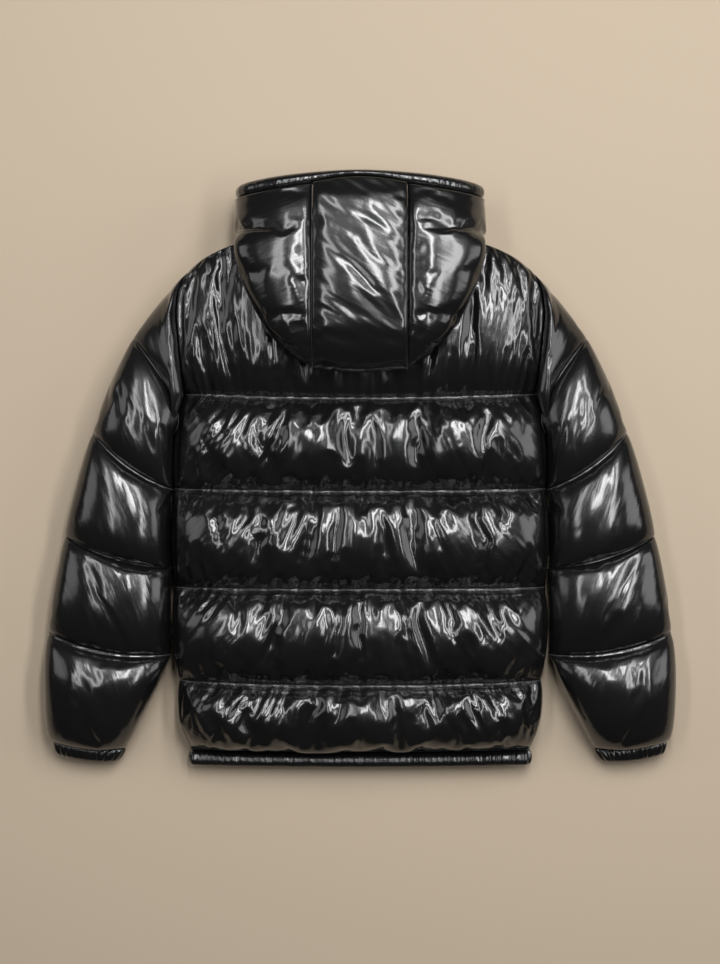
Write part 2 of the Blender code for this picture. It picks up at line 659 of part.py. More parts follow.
def build_pull(middle, plate_under, metal):
    """Pull tab on its cross pin, hanging down the zip with its tip just on the surface."""
    axis_h = middle - BRIDGE_LENGTH / 2 + BRIDGE_BAR + PIN_RADIUS + PIN_CLEARANCE
    axis_z = plate_under - BRIDGE_DROP + BRIDGE_BAR + PIN_RADIUS + PIN_CLEARANCE
    tilt = math.asin((axis_z - PULL_THICK / 2 - FLOOR_CLEARANCE) / PULL_LENGTH)
    arm_out = BRIDGE_HALF + PIN_CLEARANCE + PULL_ARM
    arm_in = BRIDGE_HALF + PIN_CLEARANCE
    eye_end = PULL_EYE
    corner = PULL_CORNER
    neck = eye_end + PULL_NECK
    pin = PIN_RADIUS
    # plan of the pull: across and along, as an outer outline and the eye's window
    outline = ((-arm_out, -pin), (arm_out, -pin), (arm_out, eye_end), (PULL_HALF, neck),
               (PULL_HALF, PULL_LENGTH - corner), (PULL_HALF - corner, PULL_LENGTH),
               (-PULL_HALF + corner, PULL_LENGTH), (-PULL_HALF, PULL_LENGTH - corner),
               (-PULL_HALF, neck), (-arm_out, eye_end))
    eye = ((-arm_in, pin), (arm_in, pin), (arm_in, eye_end), (0.0, eye_end + PULL_EYE_TIP), (-arm_in, eye_end))
    shape = bmesh.new()

    def place(across, along, level):
        height = axis_h - along * math.cos(tilt) - level * math.sin(tilt)
        return world(across, height, axis_z - along * math.sin(tilt) + level * math.cos(tilt))

    levels = (-PIN_RADIUS, PIN_RADIUS)
    outer = [[shape.verts.new(place(a, b, z)) for a, b in outline] for z in levels]
    inner = [[shape.verts.new(place(a, b, z)) for a, b in eye] for z in levels]
    for i in range(len(outline)):
        n = (i + 1) % len(outline)
        shape.faces.new((outer[0][i], outer[0][n], outer[1][n], outer[1][i]))
    for i in range(len(eye)):
        n = (i + 1) % len(eye)
        shape.faces.new((inner[0][i], inner[0][n], inner[1][n], inner[1][i]))
    for k in (0, 1):
        o, e = outer[k], inner[k]
        shape.faces.new((o[0], o[1], e[1], e[0]))
        shape.faces.new((o[1], o[2], e[2], e[1]))
        shape.faces.new((o[2], o[3], e[3], e[2]))
        shape.faces.new((o[3], o[4], o[5], o[6], o[7], o[8], e[3]))
        shape.faces.new((o[8], o[9], e[4], e[3]))
        shape.faces.new((o[9], o[0], e[0], e[4]))
    pivot = world(0.0, axis_h, axis_z)
    hinge = bpy.data.objects.new("zip_pull_hinge", None)
    hinge.location = pivot
    bpy.context.collection.objects.link(hinge)
    add_object("zip_pull", shape, metal, pivot, hinge)


def main():
    for item in list(bpy.data.objects):
        bpy.data.objects.remove(item, do_unlink=True)
    shell_names = ("back", "fronts", "sleeves", "hood", "rim", "bands")
    finish = {name: material(f"black_nylon_{name}", SHELL_BLACK, 0.25) for name in shell_names}
    tape = material("black_tape", TAPE_BLACK, 0.8)
    metal = material("dark_zip_metal", METAL_GREY, 0.35, 0.9)
    build_back(finish["back"])
    build_hem(finish["bands"])
    for side, sign in (("left", -1), ("right", 1)):
        build_front(f"front_{side}", sign, finish["fronts"])
        build_tube(f"sleeve_{side}", sign, SLEEVE, True, finish["sleeves"])
        build_tube(f"cuff_{side}", sign, CUFF, False, finish["bands"])
        build_hood_side(f"hood_side_{side}", sign, finish["hood"])
        build_collar(f"collar_{side}", sign, finish["hood"])
    build_hood_center(finish["hood"])
    build_rim(finish["rim"])
    build_zip(tape, metal)


main()
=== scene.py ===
"""Hooded puffer jacket in black high-gloss nylon, lying on its front: finished surfaces and studio."""

import math

import bmesh
import bpy
import numpy as np
from bpy.props import FloatProperty, FloatVectorProperty, IntProperty, PointerProperty
from mathutils import Matrix, Vector


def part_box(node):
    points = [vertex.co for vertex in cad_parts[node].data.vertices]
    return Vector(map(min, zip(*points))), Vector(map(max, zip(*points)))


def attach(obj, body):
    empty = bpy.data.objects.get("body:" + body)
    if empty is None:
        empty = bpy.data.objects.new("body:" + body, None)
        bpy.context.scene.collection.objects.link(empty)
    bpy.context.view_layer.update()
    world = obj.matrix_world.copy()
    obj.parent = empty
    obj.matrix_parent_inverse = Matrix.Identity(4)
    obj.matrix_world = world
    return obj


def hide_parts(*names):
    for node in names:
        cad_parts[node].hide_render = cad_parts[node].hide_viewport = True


bl_info = {
    "name": "Hooded puffer jacket",
    "version": (1, 0, 0),
    "blender": (4, 5, 0),
    "location": "View3D > Sidebar > Jacket",
    "description": "Builds the quilted, hooded jacket around its fixed frame",
    "category": "Object",
}

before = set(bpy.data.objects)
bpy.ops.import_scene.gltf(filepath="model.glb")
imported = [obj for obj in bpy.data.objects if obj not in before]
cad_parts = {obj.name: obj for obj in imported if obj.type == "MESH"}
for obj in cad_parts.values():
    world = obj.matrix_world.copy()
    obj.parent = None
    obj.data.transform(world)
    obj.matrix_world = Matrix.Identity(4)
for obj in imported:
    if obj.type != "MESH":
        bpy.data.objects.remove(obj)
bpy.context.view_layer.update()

MM = 0.001
HALF_LENGTH = 385.5     # middle of the jacket above the hem's edge, millimetres

# Quilting seams of the body, bottom to top: millimetres above the hem's edge, and from the middle line
SEAM_HEIGHT = np.array([21.0, 110.0, 235.0, 362.0, 482.0])
SEAM_RISE = np.array([3.0, 6.0, 2.0, 3.0, 6.0])
SEAM_HALF = np.array([221.5, 235.5, 240.5, 241.5, 228.0])
SEAM_LEVEL = np.array([27.0, 60.0, 62.0, 62.0, 60.0])
BAFFLE_HALF = np.array([237.0, 245.0, 246.5, 243.0])
BAFFLE_CREST = np.array([84.0, 92.0, 94.0, 91.0, 80.0])
ARMHOLE_HEIGHT = np.array([488.0, 520.0, 560.0, 605.0, 632.0, 648.0])
ARMHOLE_HALF = np.array([228.0, 231.5, 236.0, 238.0, 232.0, 222.0])
SHOULDER_X = np.array([0.0, 60.0, 110.0, 163.0, 190.0, 206.0, 222.0])
SHOULDER_HEIGHT = np.array([675.0, 679.0, 684.0, 681.0, 670.0, 661.0, 648.0])
EDGE_LEVEL = 40.0       # side seams
HEM_LEVEL = 21.5

# Sleeve sections: ends and middle of each line across the sleeve, its thickness and its floor clearance
SLEEVE = np.array([
    # outer_x, outer_h, knee_x, knee_h, inner_x, inner_h, thickness, floor, seam
    [223.0, 650.0, 233.5, 560.0, 243.5, 433.0, 74.0, 4.0, 1],
    [262.0, 606.0, 246.0, 520.0, 243.5, 434.0, 84.0, 0.5, 0],
    [295.5, 561.0, 240.5, 479.0, 243.5, 436.0, 60.0, 7.0, 1],
    [325.0, 500.0, 283.0, 447.0, 244.0, 400.0, 88.0, 0.5, 0],
    [348.0, 438.0, 299.0, 393.0, 243.5, 364.0, 60.0, 7.0, 1],
    [371.5, 364.0, 309.0, 326.0, 248.0, 303.0, 88.0, 0.5, 0],
    [383.0, 304.0, 318.0, 275.0, 243.5, 262.0, 58.0, 7.0, 1],
    [397.0, 246.0, 322.0, 216.0, 247.0, 208.0, 84.0, 0.5, 0],
    [406.0, 178.0, 333.0, 154.0, 246.0, 149.0, 54.0, 7.0, 1],
    [411.5, 91.0, 343.0, 78.0, 276.0, 84.0, 78.0, 0.5, 0],
    [402.0, 37.5, 355.0, 26.0, 307.0, 25.0, 28.0, 4.0, 1],
])

# Hood, three panels: outline height, half width, level of the top and of the underside
HOOD_OUTLINE = np.array([
    # height, half_width, top, underside
    [752.0, 161.0, 134.0, 12.0],
    [722.0, 161.0, 145.0, 12.0],
    [692.0, 160.5, 151.0, 40.0],
    [680.0, 160.0, 153.0, 81.0],
    [634.0, 151.5, 156.0, 81.0],
    [589.0, 131.0, 153.0, 81.0],
    [548.0, 102.0, 144.0, 82.0],
    [526.0, 74.0, 131.0, 87.0],
])
CENTER_SEAM_X = 60.0

ROW_ENDS = np.append(SEAM_HEIGHT, 665.0)    # the seams and the mean height of the neck

SEED = 7
SWELL_BLUR = 40         # softening steps that part the slow swelling from the wrinkles
SEWN_BY = 11            # frame by which the seams have moved to their places
GATHER_BLUR = 16        # softening steps that spread the gathers out from a seam


def to_world(x, height, z):
    return np.stack(np.broadcast_arrays(x, height - HALF_LENGTH, z), axis=-1) * MM


def cubic(keys, values, at):
    """Smooth interpolation through a table, along the last axis of keys."""
    keys = np.asarray(keys, float)
    values = np.asarray(values, float)
    slope = np.gradient(values, keys, axis=0)
    i = np.clip(np.searchsorted(keys, at, side="right") - 1, 0, len(keys) - 2)
    step = keys[i + 1] - keys[i]
    t = np.clip((at - keys[i]) / step, 0.0, 1.0)
    extra = (1,) * (values.ndim - 1)
    t = t.reshape(t.shape + extra)
    step = step.reshape(step.shape + extra)
    return ((2 * t**3 - 3 * t**2 + 1) * values[i] + (t**3 - 2 * t**2 + t) * step * slope[i]
            + (3 * t**2 - 2 * t**3) * values[i + 1] + (t**3 - t**2) * step * slope[i + 1])


def value_noise(points, seed):
    """Smooth noise in -1..1 at two-dimensional points."""
    cell = np.floor(points).astype(np.int64)
    part = points - cell
    part = part * part * part * (part * (part * 6 - 15) + 10)

    def corner(dx, dy):
        mixed = (cell[..., 0] + dx) * 374761393 + (cell[..., 1] + dy) * 668265263 + seed * 2147483647
        mixed = (mixed ^ (mixed >> 13)) * 1274126177
        return ((mixed ^ (mixed >> 16)) & 0xFFFF) / 32767.5 - 1.0

    low = corner(0, 0) * (1 - part[..., 0]) + corner(1, 0) * part[..., 0]
    high = corner(0, 1) * (1 - part[..., 0]) + corner(1, 1) * part[..., 0]
    return low * (1 - part[..., 1]) + high * part[..., 1]


# ---- meshes ----

def grid_faces(rows, columns, wrap=False):
    r = np.arange(rows - 1)[:, None]
    c = np.arange(columns if wrap else columns - 1)[None, :]
    n = (c + 1) % columns
    quads = np.stack([r * columns + c, r * columns + n, (r + 1) * columns + n, (r + 1) * columns + c], axis=-1)
    return quads.reshape(-1, 4)


def mesh_object(name, points, faces, edges=(), smooth=True):
    """A new object in the scene from points and from lists of faces or edges."""
    mesh = bpy.data.meshes.new(name)
    mesh.from_pydata(np.reshape(points, (-1, 3)).tolist(), list(edges), faces)
    mesh.update()
    if smooth:
        mesh.shade_smooth()
    item = bpy.data.objects.new(name, mesh)
    bpy.context.collection.objects.link(item)
    return item


def blur(values, times, wrap=False):
    """Soften a grid of values with a small kernel, several times over."""
    for _ in range(times):
        for axis in (0, 1):
            if axis == 1 and wrap:
                values = (np.roll(values, 1, 1) + 2 * values + np.roll(values, -1, 1)) / 4
            else:
                moved = np.moveaxis(values, axis, 0)
                wide = np.concatenate([moved[:1], moved, moved[-1:]])
                values = np.moveaxis((wide[:-2] + 2 * wide[1:-1] + wide[2:]) / 4, 0, axis)
    return values


SHRINK_STEPS = 10       # shares that the weights near a seam are rounded to
CLOTH = {
    "quality": 5, "mass": 0.12, "tension_stiffness": 14.0, "compression_stiffness": 14.0,
    "shear_stiffness": 5.0, "bending_stiffness": 0.08, "tension_damping": 6.0, "compression_damping": 6.0,
    "shear_damping": 4.0, "bending_damping": 0.5, "air_damping": 2.0, "vertex_group_mass": "seams",
    "pin_stiffness": 1.0, "vertex_group_shrink": "gathers", "use_pressure": True,
}


class Padding:
    """Grids of cloth that are waiting for their filling: blown up together, pinned along their seams."""

    waiting = []

    @classmethod
    def add(cls, name, points, pinned, wrap=False, gather=0.05, stretch=(1, 0, 0.07), pressure=3.0,
            swell=0.35, limit=12.0):
        """Cut a panel larger along stretch (x, y, share); the key "sewn" then draws it in, in gathers."""
        rows, columns = points.shape[:2]
        x, y, more = stretch
        along = ((points - points.mean(axis=(0, 1))) * [x, y, 0]).sum(axis=-1, keepdims=True)
        cut = points + along * more * np.array([x, y, 0])
        item = mesh_object(name + "_cloth", cut, grid_faces(rows, columns, wrap).tolist())
        item.shape_key_add(name="cut")
        group = item.vertex_groups.new(name="seams")
        group.add(np.nonzero(pinned.reshape(-1) >= 0.999)[0].tolist(), 1.0, "REPLACE")
        near = blur(pinned, GATHER_BLUR, wrap).reshape(-1)
        near = np.clip(near / near.max(), 0, 1)
        gathered = item.vertex_groups.new(name="gathers")
        for share in range(1, SHRINK_STEPS + 1):
            chosen = np.nonzero(np.round(near * SHRINK_STEPS) == share)[0]
            gathered.add(chosen.tolist(), share / SHRINK_STEPS, "REPLACE")
        sewn = item.shape_key_add(name="sewn")
        sewn.data.foreach_set("co", points.reshape(-1))
        for frame_number, value in ((1, 0.0), (SEWN_BY, 1.0)):
            sewn.value = value
            sewn.keyframe_insert("value", frame=frame_number)
        cloth = item.modifiers.new("filling", "CLOTH")
        settings = cloth.settings
        for key, value in CLOTH.items():
            setattr(settings, key, value)
        settings.shrink_max = -gather
        settings.uniform_pressure_force = pressure
        settings.effector_weights.gravity = 0.0
        cloth.collision_settings.use_collision = False
        cloth.collision_settings.use_self_collision = False
        cls.waiting.append((name, item, points, pinned, wrap, swell, limit * MM))

    @classmethod
    def blow(cls, frames):
        """Run the simulation for all of them at once, and return each one's points."""
        scene = bpy.context.scene
        result = {}
        for number in range(1, frames + 1):
            scene.frame_set(number)
        graph = bpy.context.evaluated_depsgraph_get()
        for name, item, before, pinned, wrap, swell, limit in cls.waiting:
            shown = item.evaluated_get(graph)
            flat = np.empty(len(shown.data.vertices) * 3)
            shown.data.vertices.foreach_get("co", flat)
            after = flat.reshape(before.shape)
            move = blur(after - before, 1, wrap) * (pinned < 1)[..., None]
            inside = np.clip(1 - 3 * blur(pinned, 4, wrap), 0, 1)[..., None]
            slow = blur(move, SWELL_BLUR, wrap)
            move = move - slow * inside * (1 - swell)
            far = np.linalg.norm(move, axis=-1, keepdims=True)
            result[name] = before + move * (limit * np.tanh(far / limit) / np.maximum(far, 1e-9))
        for entry in cls.waiting:
            item = entry[1]
            mesh = item.data
            bpy.data.objects.remove(item)
            bpy.data.meshes.remove(mesh)
        cls.waiting = []
        scene.frame_set(1)
        return result


# ---- body shape ----

GATHER_DEPTH = 0.8      # height of the puckers that the cloth is cut with, millimetres
BODY_STEP = 3.7         # spacing of the back's cloth points, millimetres
BODY_ROUND = (0.66, 0.34)   # share of the half width where the side starts to fall, and the rest of it
CREST_UNEVEN = 6.0      # how much a baffle's crest rises and falls along it, millimetres
YOKE_LEVEL = 66.0       # neck seam
YOKE_CREST = 80.0
GATHER_SIZES = (
    # pitch across the folds and length along them, millimetres, and weight
    (8.0, 60.0, 0.8), (13.0, 90.0, 1.3), (27.0, 140.0, 1.6),
)
SEAMS = len(SEAM_HEIGHT)


def body_surface(u, s):
    """Rest shape of the back: u from -1 (wearer's left) to 1, s counts seams from the hem to the neck (5)."""
    share = np.clip(s, 0, SEAMS - 1e-6)
    k = np.minimum(share.astype(int), SEAMS - 1)
    f = share - k
    yoke = k == SEAMS - 1
    above = np.minimum(k + 1, SEAMS - 1)
    half = np.where(yoke, 0.0, SEAM_HALF[k] * (1 - f) + SEAM_HALF[above] * f)
    belly = np.where(yoke, 0.0, BAFFLE_HALF[np.minimum(k, SEAMS - 2)] - (SEAM_HALF[k] + SEAM_HALF[above]) / 2)
    half = half + belly * np.sin(np.pi * f) ** 0.8
    armhole = ARMHOLE_HEIGHT[0] + (ARMHOLE_HEIGHT[-1] - ARMHOLE_HEIGHT[0]) * f
    half = np.where(yoke, cubic(ARMHOLE_HEIGHT, ARMHOLE_HALF, armhole), half)
    x = u * half
    side = (x / half) ** 2
    low = SEAM_HEIGHT[k] + SEAM_RISE[k] * side
    neck = cubic(SHOULDER_X, SHOULDER_HEIGHT, np.abs(x) * SHOULDER_X[-1] / half)
    high = np.where(yoke, neck, SEAM_HEIGHT[above] + SEAM_RISE[above] * side)
    height = low * (1 - f) + high * f
    round_side = np.clip(1 - np.clip((np.abs(u) - BODY_ROUND[0]) / BODY_ROUND[1], 0, 1) ** 2.2, 0, 1) ** 0.5
    puff = np.clip(1 - np.abs(2 * f - 1) ** 2.4, 0, 1) ** 0.55
    seam_level = SEAM_LEVEL[k] * (1 - f) + np.where(yoke, YOKE_LEVEL, SEAM_LEVEL[above]) * f
    uneven = value_noise(np.stack([x / 62.0 + 0 * f, k * 3.7 + 0 * x], axis=-1), SEED + 5)
    crest = BAFFLE_CREST[k] + CREST_UNEVEN * uneven
    top = seam_level + (crest - seam_level) * puff
    top = np.where(yoke, np.minimum(top, YOKE_CREST), top)
    lift = 22.0 * np.minimum(1, f * 6) * np.clip(1 - (f - 0.85) / 0.3, 0.4, 1)
    edge = np.where(yoke, EDGE_LEVEL + lift, EDGE_LEVEL)
    edge = np.where(k == 0, HEM_LEVEL + (EDGE_LEVEL - HEM_LEVEL) * f ** 0.5, edge)
    return x, height, edge + (top - edge) * round_side


def seam_grid(step):
    """Row places between seams, a whole number of steps to each baffle."""
    rows, seam_rows = [], []
    for k in range(SEAMS):
        count = int(round((ROW_ENDS[k + 1] - ROW_ENDS[k]) / step / 2)) * 2
        seam_rows.append(len(rows))
        rows += [k + i / count for i in range(count)]
    seam_rows.append(len(rows))
    rows.append(float(SEAMS))
    return np.array(rows), seam_rows


def pucker_seed(points, seed, size):
    """Tiny uneven ripples for a cloth to buckle along."""
    x, y = points[..., 0] / MM, points[..., 1] / MM
    along = np.stack([x / 11.0, y / 45.0], axis=-1)
    wide = np.stack([x / 26.0, y / 60.0], axis=-1)
    points[..., 2] += size * MM * (value_noise(along, seed) + 1.2 * value_noise(wide, seed + 1))
    return points


def body_folds(points, s, fan=0.0034):
    """Where the back's points lie across and along the folds of their baffle, metres."""
    k = np.minimum(s.astype(int), SEAMS - 1)
    down = (s - k - 1) * (ROW_ENDS[k + 1] - ROW_ENDS[k])
    turn = np.where(k == SEAMS - 1, -0.35 * fan, fan)
    return np.stack([points[..., 0] * (1 + turn * down), down * MM, 0.3 * k], axis=-1)


def gathers(folds, s, seed):
    """Puckers of the body's quilting: they stand on each seam and fan out from the middle line."""
    k = np.minimum(s.astype(int), SEAMS - 1)
    f = s - k
    near = np.minimum(f, 1 - f) * (ROW_ENDS[k + 1] - ROW_ENDS[k])
    line, down = folds[..., 0] / MM, folds[..., 1] / MM
    fade = 0.5 + 0.5 * np.exp(-near / 20.0)
    total = 0.0
    for pitch, long, weight in GATHER_SIZES:
        where = np.stack([line / pitch, down / long + 17.0 * k], axis=-1)
        sharp = 1 - 2 * np.abs(value_noise(where, seed + int(pitch)))
        total = total + weight * sharp
    return total * fade * np.clip(near / 2.0, 0, 1)


def seam_pins(points, rows, sides=True):
    """Weights that hold a grid along the given rows and, where asked, along its two sides."""
    pinned = np.zeros(points.shape[:2])
    pinned[rows] = 1
    if sides:
        pinned[:, [0, -1]] = 1
    return pinned


def back_base():
    rows, seam_rows = seam_grid(BODY_STEP)
    count = int(2 * 240 / BODY_STEP)
    u = np.sin(np.linspace(-1, 1, count + 1) * np.pi / 2 * 0.93) / math.sin(np.pi / 2 * 0.93)
    u = 0.55 * u + 0.45 * np.linspace(-1, 1, count + 1)
    x, height, z = body_surface(u[None, :], rows[:, None])
    points = to_world(x, height, z)
    return points, seam_pins(points, seam_rows), seam_rows, np.broadcast_to(rows[:, None], points.shape[:2])


def refine(points, wrap=False):
    """Twice as fine a grid through the same points."""
    for axis in (0, 1):
        p = np.moveaxis(points, axis, 0)
        if axis == 1 and wrap:
            before, after, far = np.roll(p, 1, 0), np.roll(p, -1, 0), np.roll(p, -2, 0)
            middle = (-before + 9 * p + 9 * after - far) / 16
            fine = np.stack([p, middle], axis=1).reshape(-1, *p.shape[1:])
        else:
            wide = np.concatenate([2 * p[:1] - p[1:2], p, 2 * p[-1:] - p[-2:-1]])
            middle = (-wide[:-3] + 9 * wide[1:-2] + 9 * wide[2:-1] - wide[3:]) / 16
            fine = np.empty((2 * len(p) - 1, *p.shape[1:]))
            fine[0::2] = p
            fine[1::2] = middle
        points = np.moveaxis(fine, 0, axis)
    return points


def grid_normals(points, wrap=False):
    if wrap:
        across = np.roll(points, -1, 1) - np.roll(points, 1, 1)
    else:
        across = np.gradient(points, axis=1)
    normal = np.cross(across, np.gradient(points, axis=0))
    return normal / np.maximum(np.linalg.norm(normal, axis=-1, keepdims=True), 1e-12)


def backed_grid(name, top, under, every):
    """A closed piece: a fine grid that shows, and a coarse one behind it made of every n-th point's place."""
    rows, columns = top.shape[:2]
    keep_r = sorted(set(range(0, rows, every)) | {rows - 1})
    keep_c = sorted(set(range(0, columns, every)) | {columns - 1})
    back = under[np.ix_(keep_r, keep_c)]
    start = rows * columns
    faces = grid_faces(rows, columns).tolist()
    wide = len(keep_c)
    faces += [[start + i for i in reversed(quad)] for quad in grid_faces(len(keep_r), wide).tolist()]
    for j, low in enumerate(keep_r[:-1]):
        high = keep_r[j + 1]
        for column, place, flip in ((0, 0, False), (columns - 1, wide - 1, True)):
            loop = [r * columns + column for r in range(low, high + 1)]
            loop += [start + (j + 1) * wide + place, start + j * wide + place]
            faces.append(loop[::-1] if flip else loop)
    for j, low in enumerate(keep_c[:-1]):
        high = keep_c[j + 1]
        for row, place, flip in ((0, 0, True), (rows - 1, len(keep_r) - 1, False)):
            loop = [row * columns + c for c in range(low, high + 1)]
            loop += [start + place * wide + j + 1, start + place * wide + j]
            faces.append(loop[::-1] if flip else loop)
    points = np.concatenate([top.reshape(-1, 3), back.reshape(-1, 3)])
    return face_out(mesh_object(name, points, faces))


def face_out(item):
    """Turn a closed mesh's faces outward."""
    shape = bmesh.new()
    shape.from_mesh(item.data)
    bmesh.ops.recalc_face_normals(shape, faces=shape.faces)
    if shape.calc_volume(signed=True) < 0:
        bmesh.ops.reverse_faces(shape, faces=shape.faces)
    shape.to_mesh(item.data)
    shape.free()
    return item


def capped_tube(name, points):
    """A closed tube: rings of a grid with a flat lid of strips at each end."""
    rows, columns = points.shape[:2]
    faces = grid_faces(rows, columns, True).tolist()
    for row, flip in ((0, True), (rows - 1, False)):
        base = row * columns
        for i in range(columns // 2 - 1):
            quad = [base + i, base + i + 1, base + columns - 2 - i, base + columns - 1 - i]
            faces.append(quad[::-1] if flip else quad)
    return face_out(mesh_object(name, points, faces))


# ---- fronts ----

FRONT_STEP = 7.0        # spacing of a front's cloth points, millimetres
ZIP_EDGE = 8.0          # a front's edge beside the zip
ZIP_SEAM_LEVEL = 13.5
FRONT_NECK_HEIGHT = 606.0   # the neck's lowest point, at the zip
FRONT_NECK_REACH = 105.0    # half width of the neck's curve
FRONT_HEM_LEVEL = 15.0


def front_neck(x, neck):
    """Height of the neck seam at the front, which dips from the shoulder line to the zip."""
    return FRONT_NECK_HEIGHT + (neck - FRONT_NECK_HEIGHT) * np.clip(x / FRONT_NECK_REACH, 0, 1) ** 1.6


def front_surface(u, s):
    """Rest shape of a front's outer face: u from the zip (0) to the side seam (1)."""
    share = np.clip(s, 0, SEAMS - 1e-6)
    k = np.minimum(share.astype(int), SEAMS - 1)
    f = share - k
    half = body_surface(np.ones_like(u * s), s)[0]
    x = ZIP_EDGE + (half - ZIP_EDGE) * u
    neck = cubic(SHOULDER_X, SHOULDER_HEIGHT, x * SHOULDER_X[-1] / half)
    low = SEAM_HEIGHT[k] + SEAM_RISE[k] * (x / half) ** 2
    above = np.minimum(k + 1, SEAMS - 1)
    next_seam = SEAM_HEIGHT[above] + SEAM_RISE[above] * (x / half) ** 2
    high = np.where(k == SEAMS - 1, front_neck(x, neck), next_seam)
    height = low * (1 - f) + high * f
    puff = np.clip(1 - np.abs(2 * f - 1) ** 6, 0, 1) ** 0.5
    round_side = np.clip(1 - np.clip((u - 0.7) / 0.3, 0, 1) ** 2.4, 0, 1) ** 0.5
    at_zip = 1 - np.clip(u / 0.13, 0, 1) ** 0.5
    seam = 7.0 * (1 - puff) + 0.4
    edge = np.where(k == SEAMS - 1, 12.0, EDGE_LEVEL - 6.0)
    edge = np.where(k == 0, FRONT_HEM_LEVEL + (EDGE_LEVEL - 21.0) * f ** 0.5, edge)
    z = edge + (seam - edge) * round_side
    z = np.where(k == 0, z + (FRONT_HEM_LEVEL - z) * (1 - f) ** 6, z)
    return x, height, z + (ZIP_SEAM_LEVEL - z) * at_zip


def front_base(sign):
    rows, seam_rows = seam_grid(FRONT_STEP)
    count = int(240 / FRONT_STEP)
    u = np.linspace(0, 1, count + 1)
    x, height, z = front_surface(u[None, :], rows[:, None])
    points = to_world(sign * x, height, z)
    if sign > 0:
        points = points[:, ::-1]
    return points, seam_pins(points, seam_rows), seam_rows


# ---- sleeves ----

SLEEVE_STEP = 3.8       # spacing of a sleeve's rings, millimetres
SLEEVE_AROUND = 104     # points round a ring
SLEEVE_LENGTHS = (150.0, 130.0, 140.0, 135.0, 130.0)    # of the five baffles, armhole to cuff
SLEEVE_ROUND = 2 / 2.5  # power of the superellipse that a ring follows
SLEEVE_UPPER = 0.54     # share of the thickness above the ring's middle
SLEEVE_LOWER = 0.46
UNDERARM = (243.0, 433.0)


def sleeve_surface(s):
    """Rings of a sleeve: s counts seams from the armhole (0) to the cuff (5)."""
    table = SLEEVE[:, :8]
    k = np.minimum(s.astype(int), 4)
    f = (s - k)[:, None]
    low, mid, high = table[2 * k], table[2 * k + 1], table[2 * k + 2]
    puff = np.clip(1 - np.abs(2 * f - 1) ** 2.4, 0, 1) ** 0.55
    ring = low * (1 - f) + high * f + (mid - (low + high) / 2) * puff
    wide, tall = 150.0, 80.0
    turn = np.linspace(0, 2 * np.pi, 2000)
    cx = np.sign(np.cos(turn)) * np.abs(np.cos(turn)) ** SLEEVE_ROUND
    cz = np.sign(np.sin(turn)) * np.abs(np.sin(turn)) ** SLEEVE_ROUND
    run = np.concatenate([[0], np.cumsum(np.hypot(np.diff(cx) * wide / 2, np.diff(cz) * tall / 2))])
    places = (np.arange(SLEEVE_AROUND) + 0.5) / SLEEVE_AROUND * run[-1]
    across = 0.5 + 0.5 * np.interp(places, run, cx)
    rise = np.interp(places, run, cz)
    t = across[None, :]
    inner = ring[:, 4:6]
    knee = ring[:, 2:4]
    outer = ring[:, 0:2]
    control = 2 * knee - (inner + outer) / 2


    def arcs(first, middle, last):
        return (first[:, None] * ((1 - t) ** 2)[..., None] + middle[:, None] * (2 * t * (1 - t))[..., None]
                + last[:, None] * (t * t)[..., None])

    plan = arcs(inner, control, outer)
    under_x, under_h = UNDERARM
    armhole_h = ARMHOLE_HEIGHT[-1] * t[0] + under_h * (1 - t[0])
    slope_x = under_x + (ARMHOLE_HALF[0] - under_x) * (armhole_h - under_h) / (ARMHOLE_HEIGHT[0] - under_h)
    armhole_x = np.where(armhole_h < ARMHOLE_HEIGHT[0], slope_x,
                         cubic(ARMHOLE_HEIGHT, ARMHOLE_HALF, armhole_h)) + 0.8
    near = np.clip(1 - s / 0.5, 0, 1)[:, None] ** 1.5
    armhole = np.stack([armhole_x, armhole_h], axis=-1)[None]
    plan = plan + (armhole - arcs(inner[:1], control[:1], outer[:1])) * near[..., None]
    thick, floor = ring[:, 6:7], ring[:, 7:8]
    middle = floor + thick * SLEEVE_LOWER
    up = middle + (thick * SLEEVE_UPPER) * rise[None, :]
    down = middle + (thick * SLEEVE_LOWER) * np.clip(rise[None, :] * 1.35, -1, 0)
    z = np.where(rise[None, :] > 0, up, down)
    return plan[..., 0], plan[..., 1], z


def sleeve_base(sign):
    rows, seam_rows = [], []
    for k, length in enumerate(SLEEVE_LENGTHS):
        count = int(round(length / SLEEVE_STEP / 2)) * 2
        seam_rows.append(len(rows))
        rows += [k + i / count for i in range(count)]
    seam_rows.append(len(rows))
    rows.append(5.0)
    x, height, z = sleeve_surface(np.array(rows))
    points = to_world(sign * x, height, z)
    if sign < 0:
        points = points[:, ::-1]
    return points, seam_pins(points, seam_rows, sides=False), seam_rows


# ---- hood ----

HOOD_STEP = 3.6         # spacing of the hood's cloth points, millimetres
HOOD_GAP = 0.4          # between the centre panel and a side panel
SIDE_TOP = 752.0        # height of a side panel's upper end
SIDE_BAG = 519.5        # and of its lower end, in the bag of the hood
CENTER_PATH = np.array([
    # height, level, along the middle of the centre panel from the rim round the bag's end to the neck seam
    [761.0, 137.0], [740.0, 146.0], [700.0, 155.0], [650.0, 159.0], [600.0, 158.0], [560.0, 152.0],
    [532.0, 140.0], [515.0, 122.0], [512.0, 105.0], [520.0, 91.0], [545.0, 83.0], [600.0, 81.0],
    [674.0, 81.0],
])


def rim_drop(x):
    """How far the rim's seam falls from the middle to its corners."""
    x = np.abs(x)
    return np.where(x < CENTER_SEAM_X, 9.0 * (x / CENTER_SEAM_X) ** 2, 9.0 + 15.0 * (x - CENTER_SEAM_X) / 101.0)


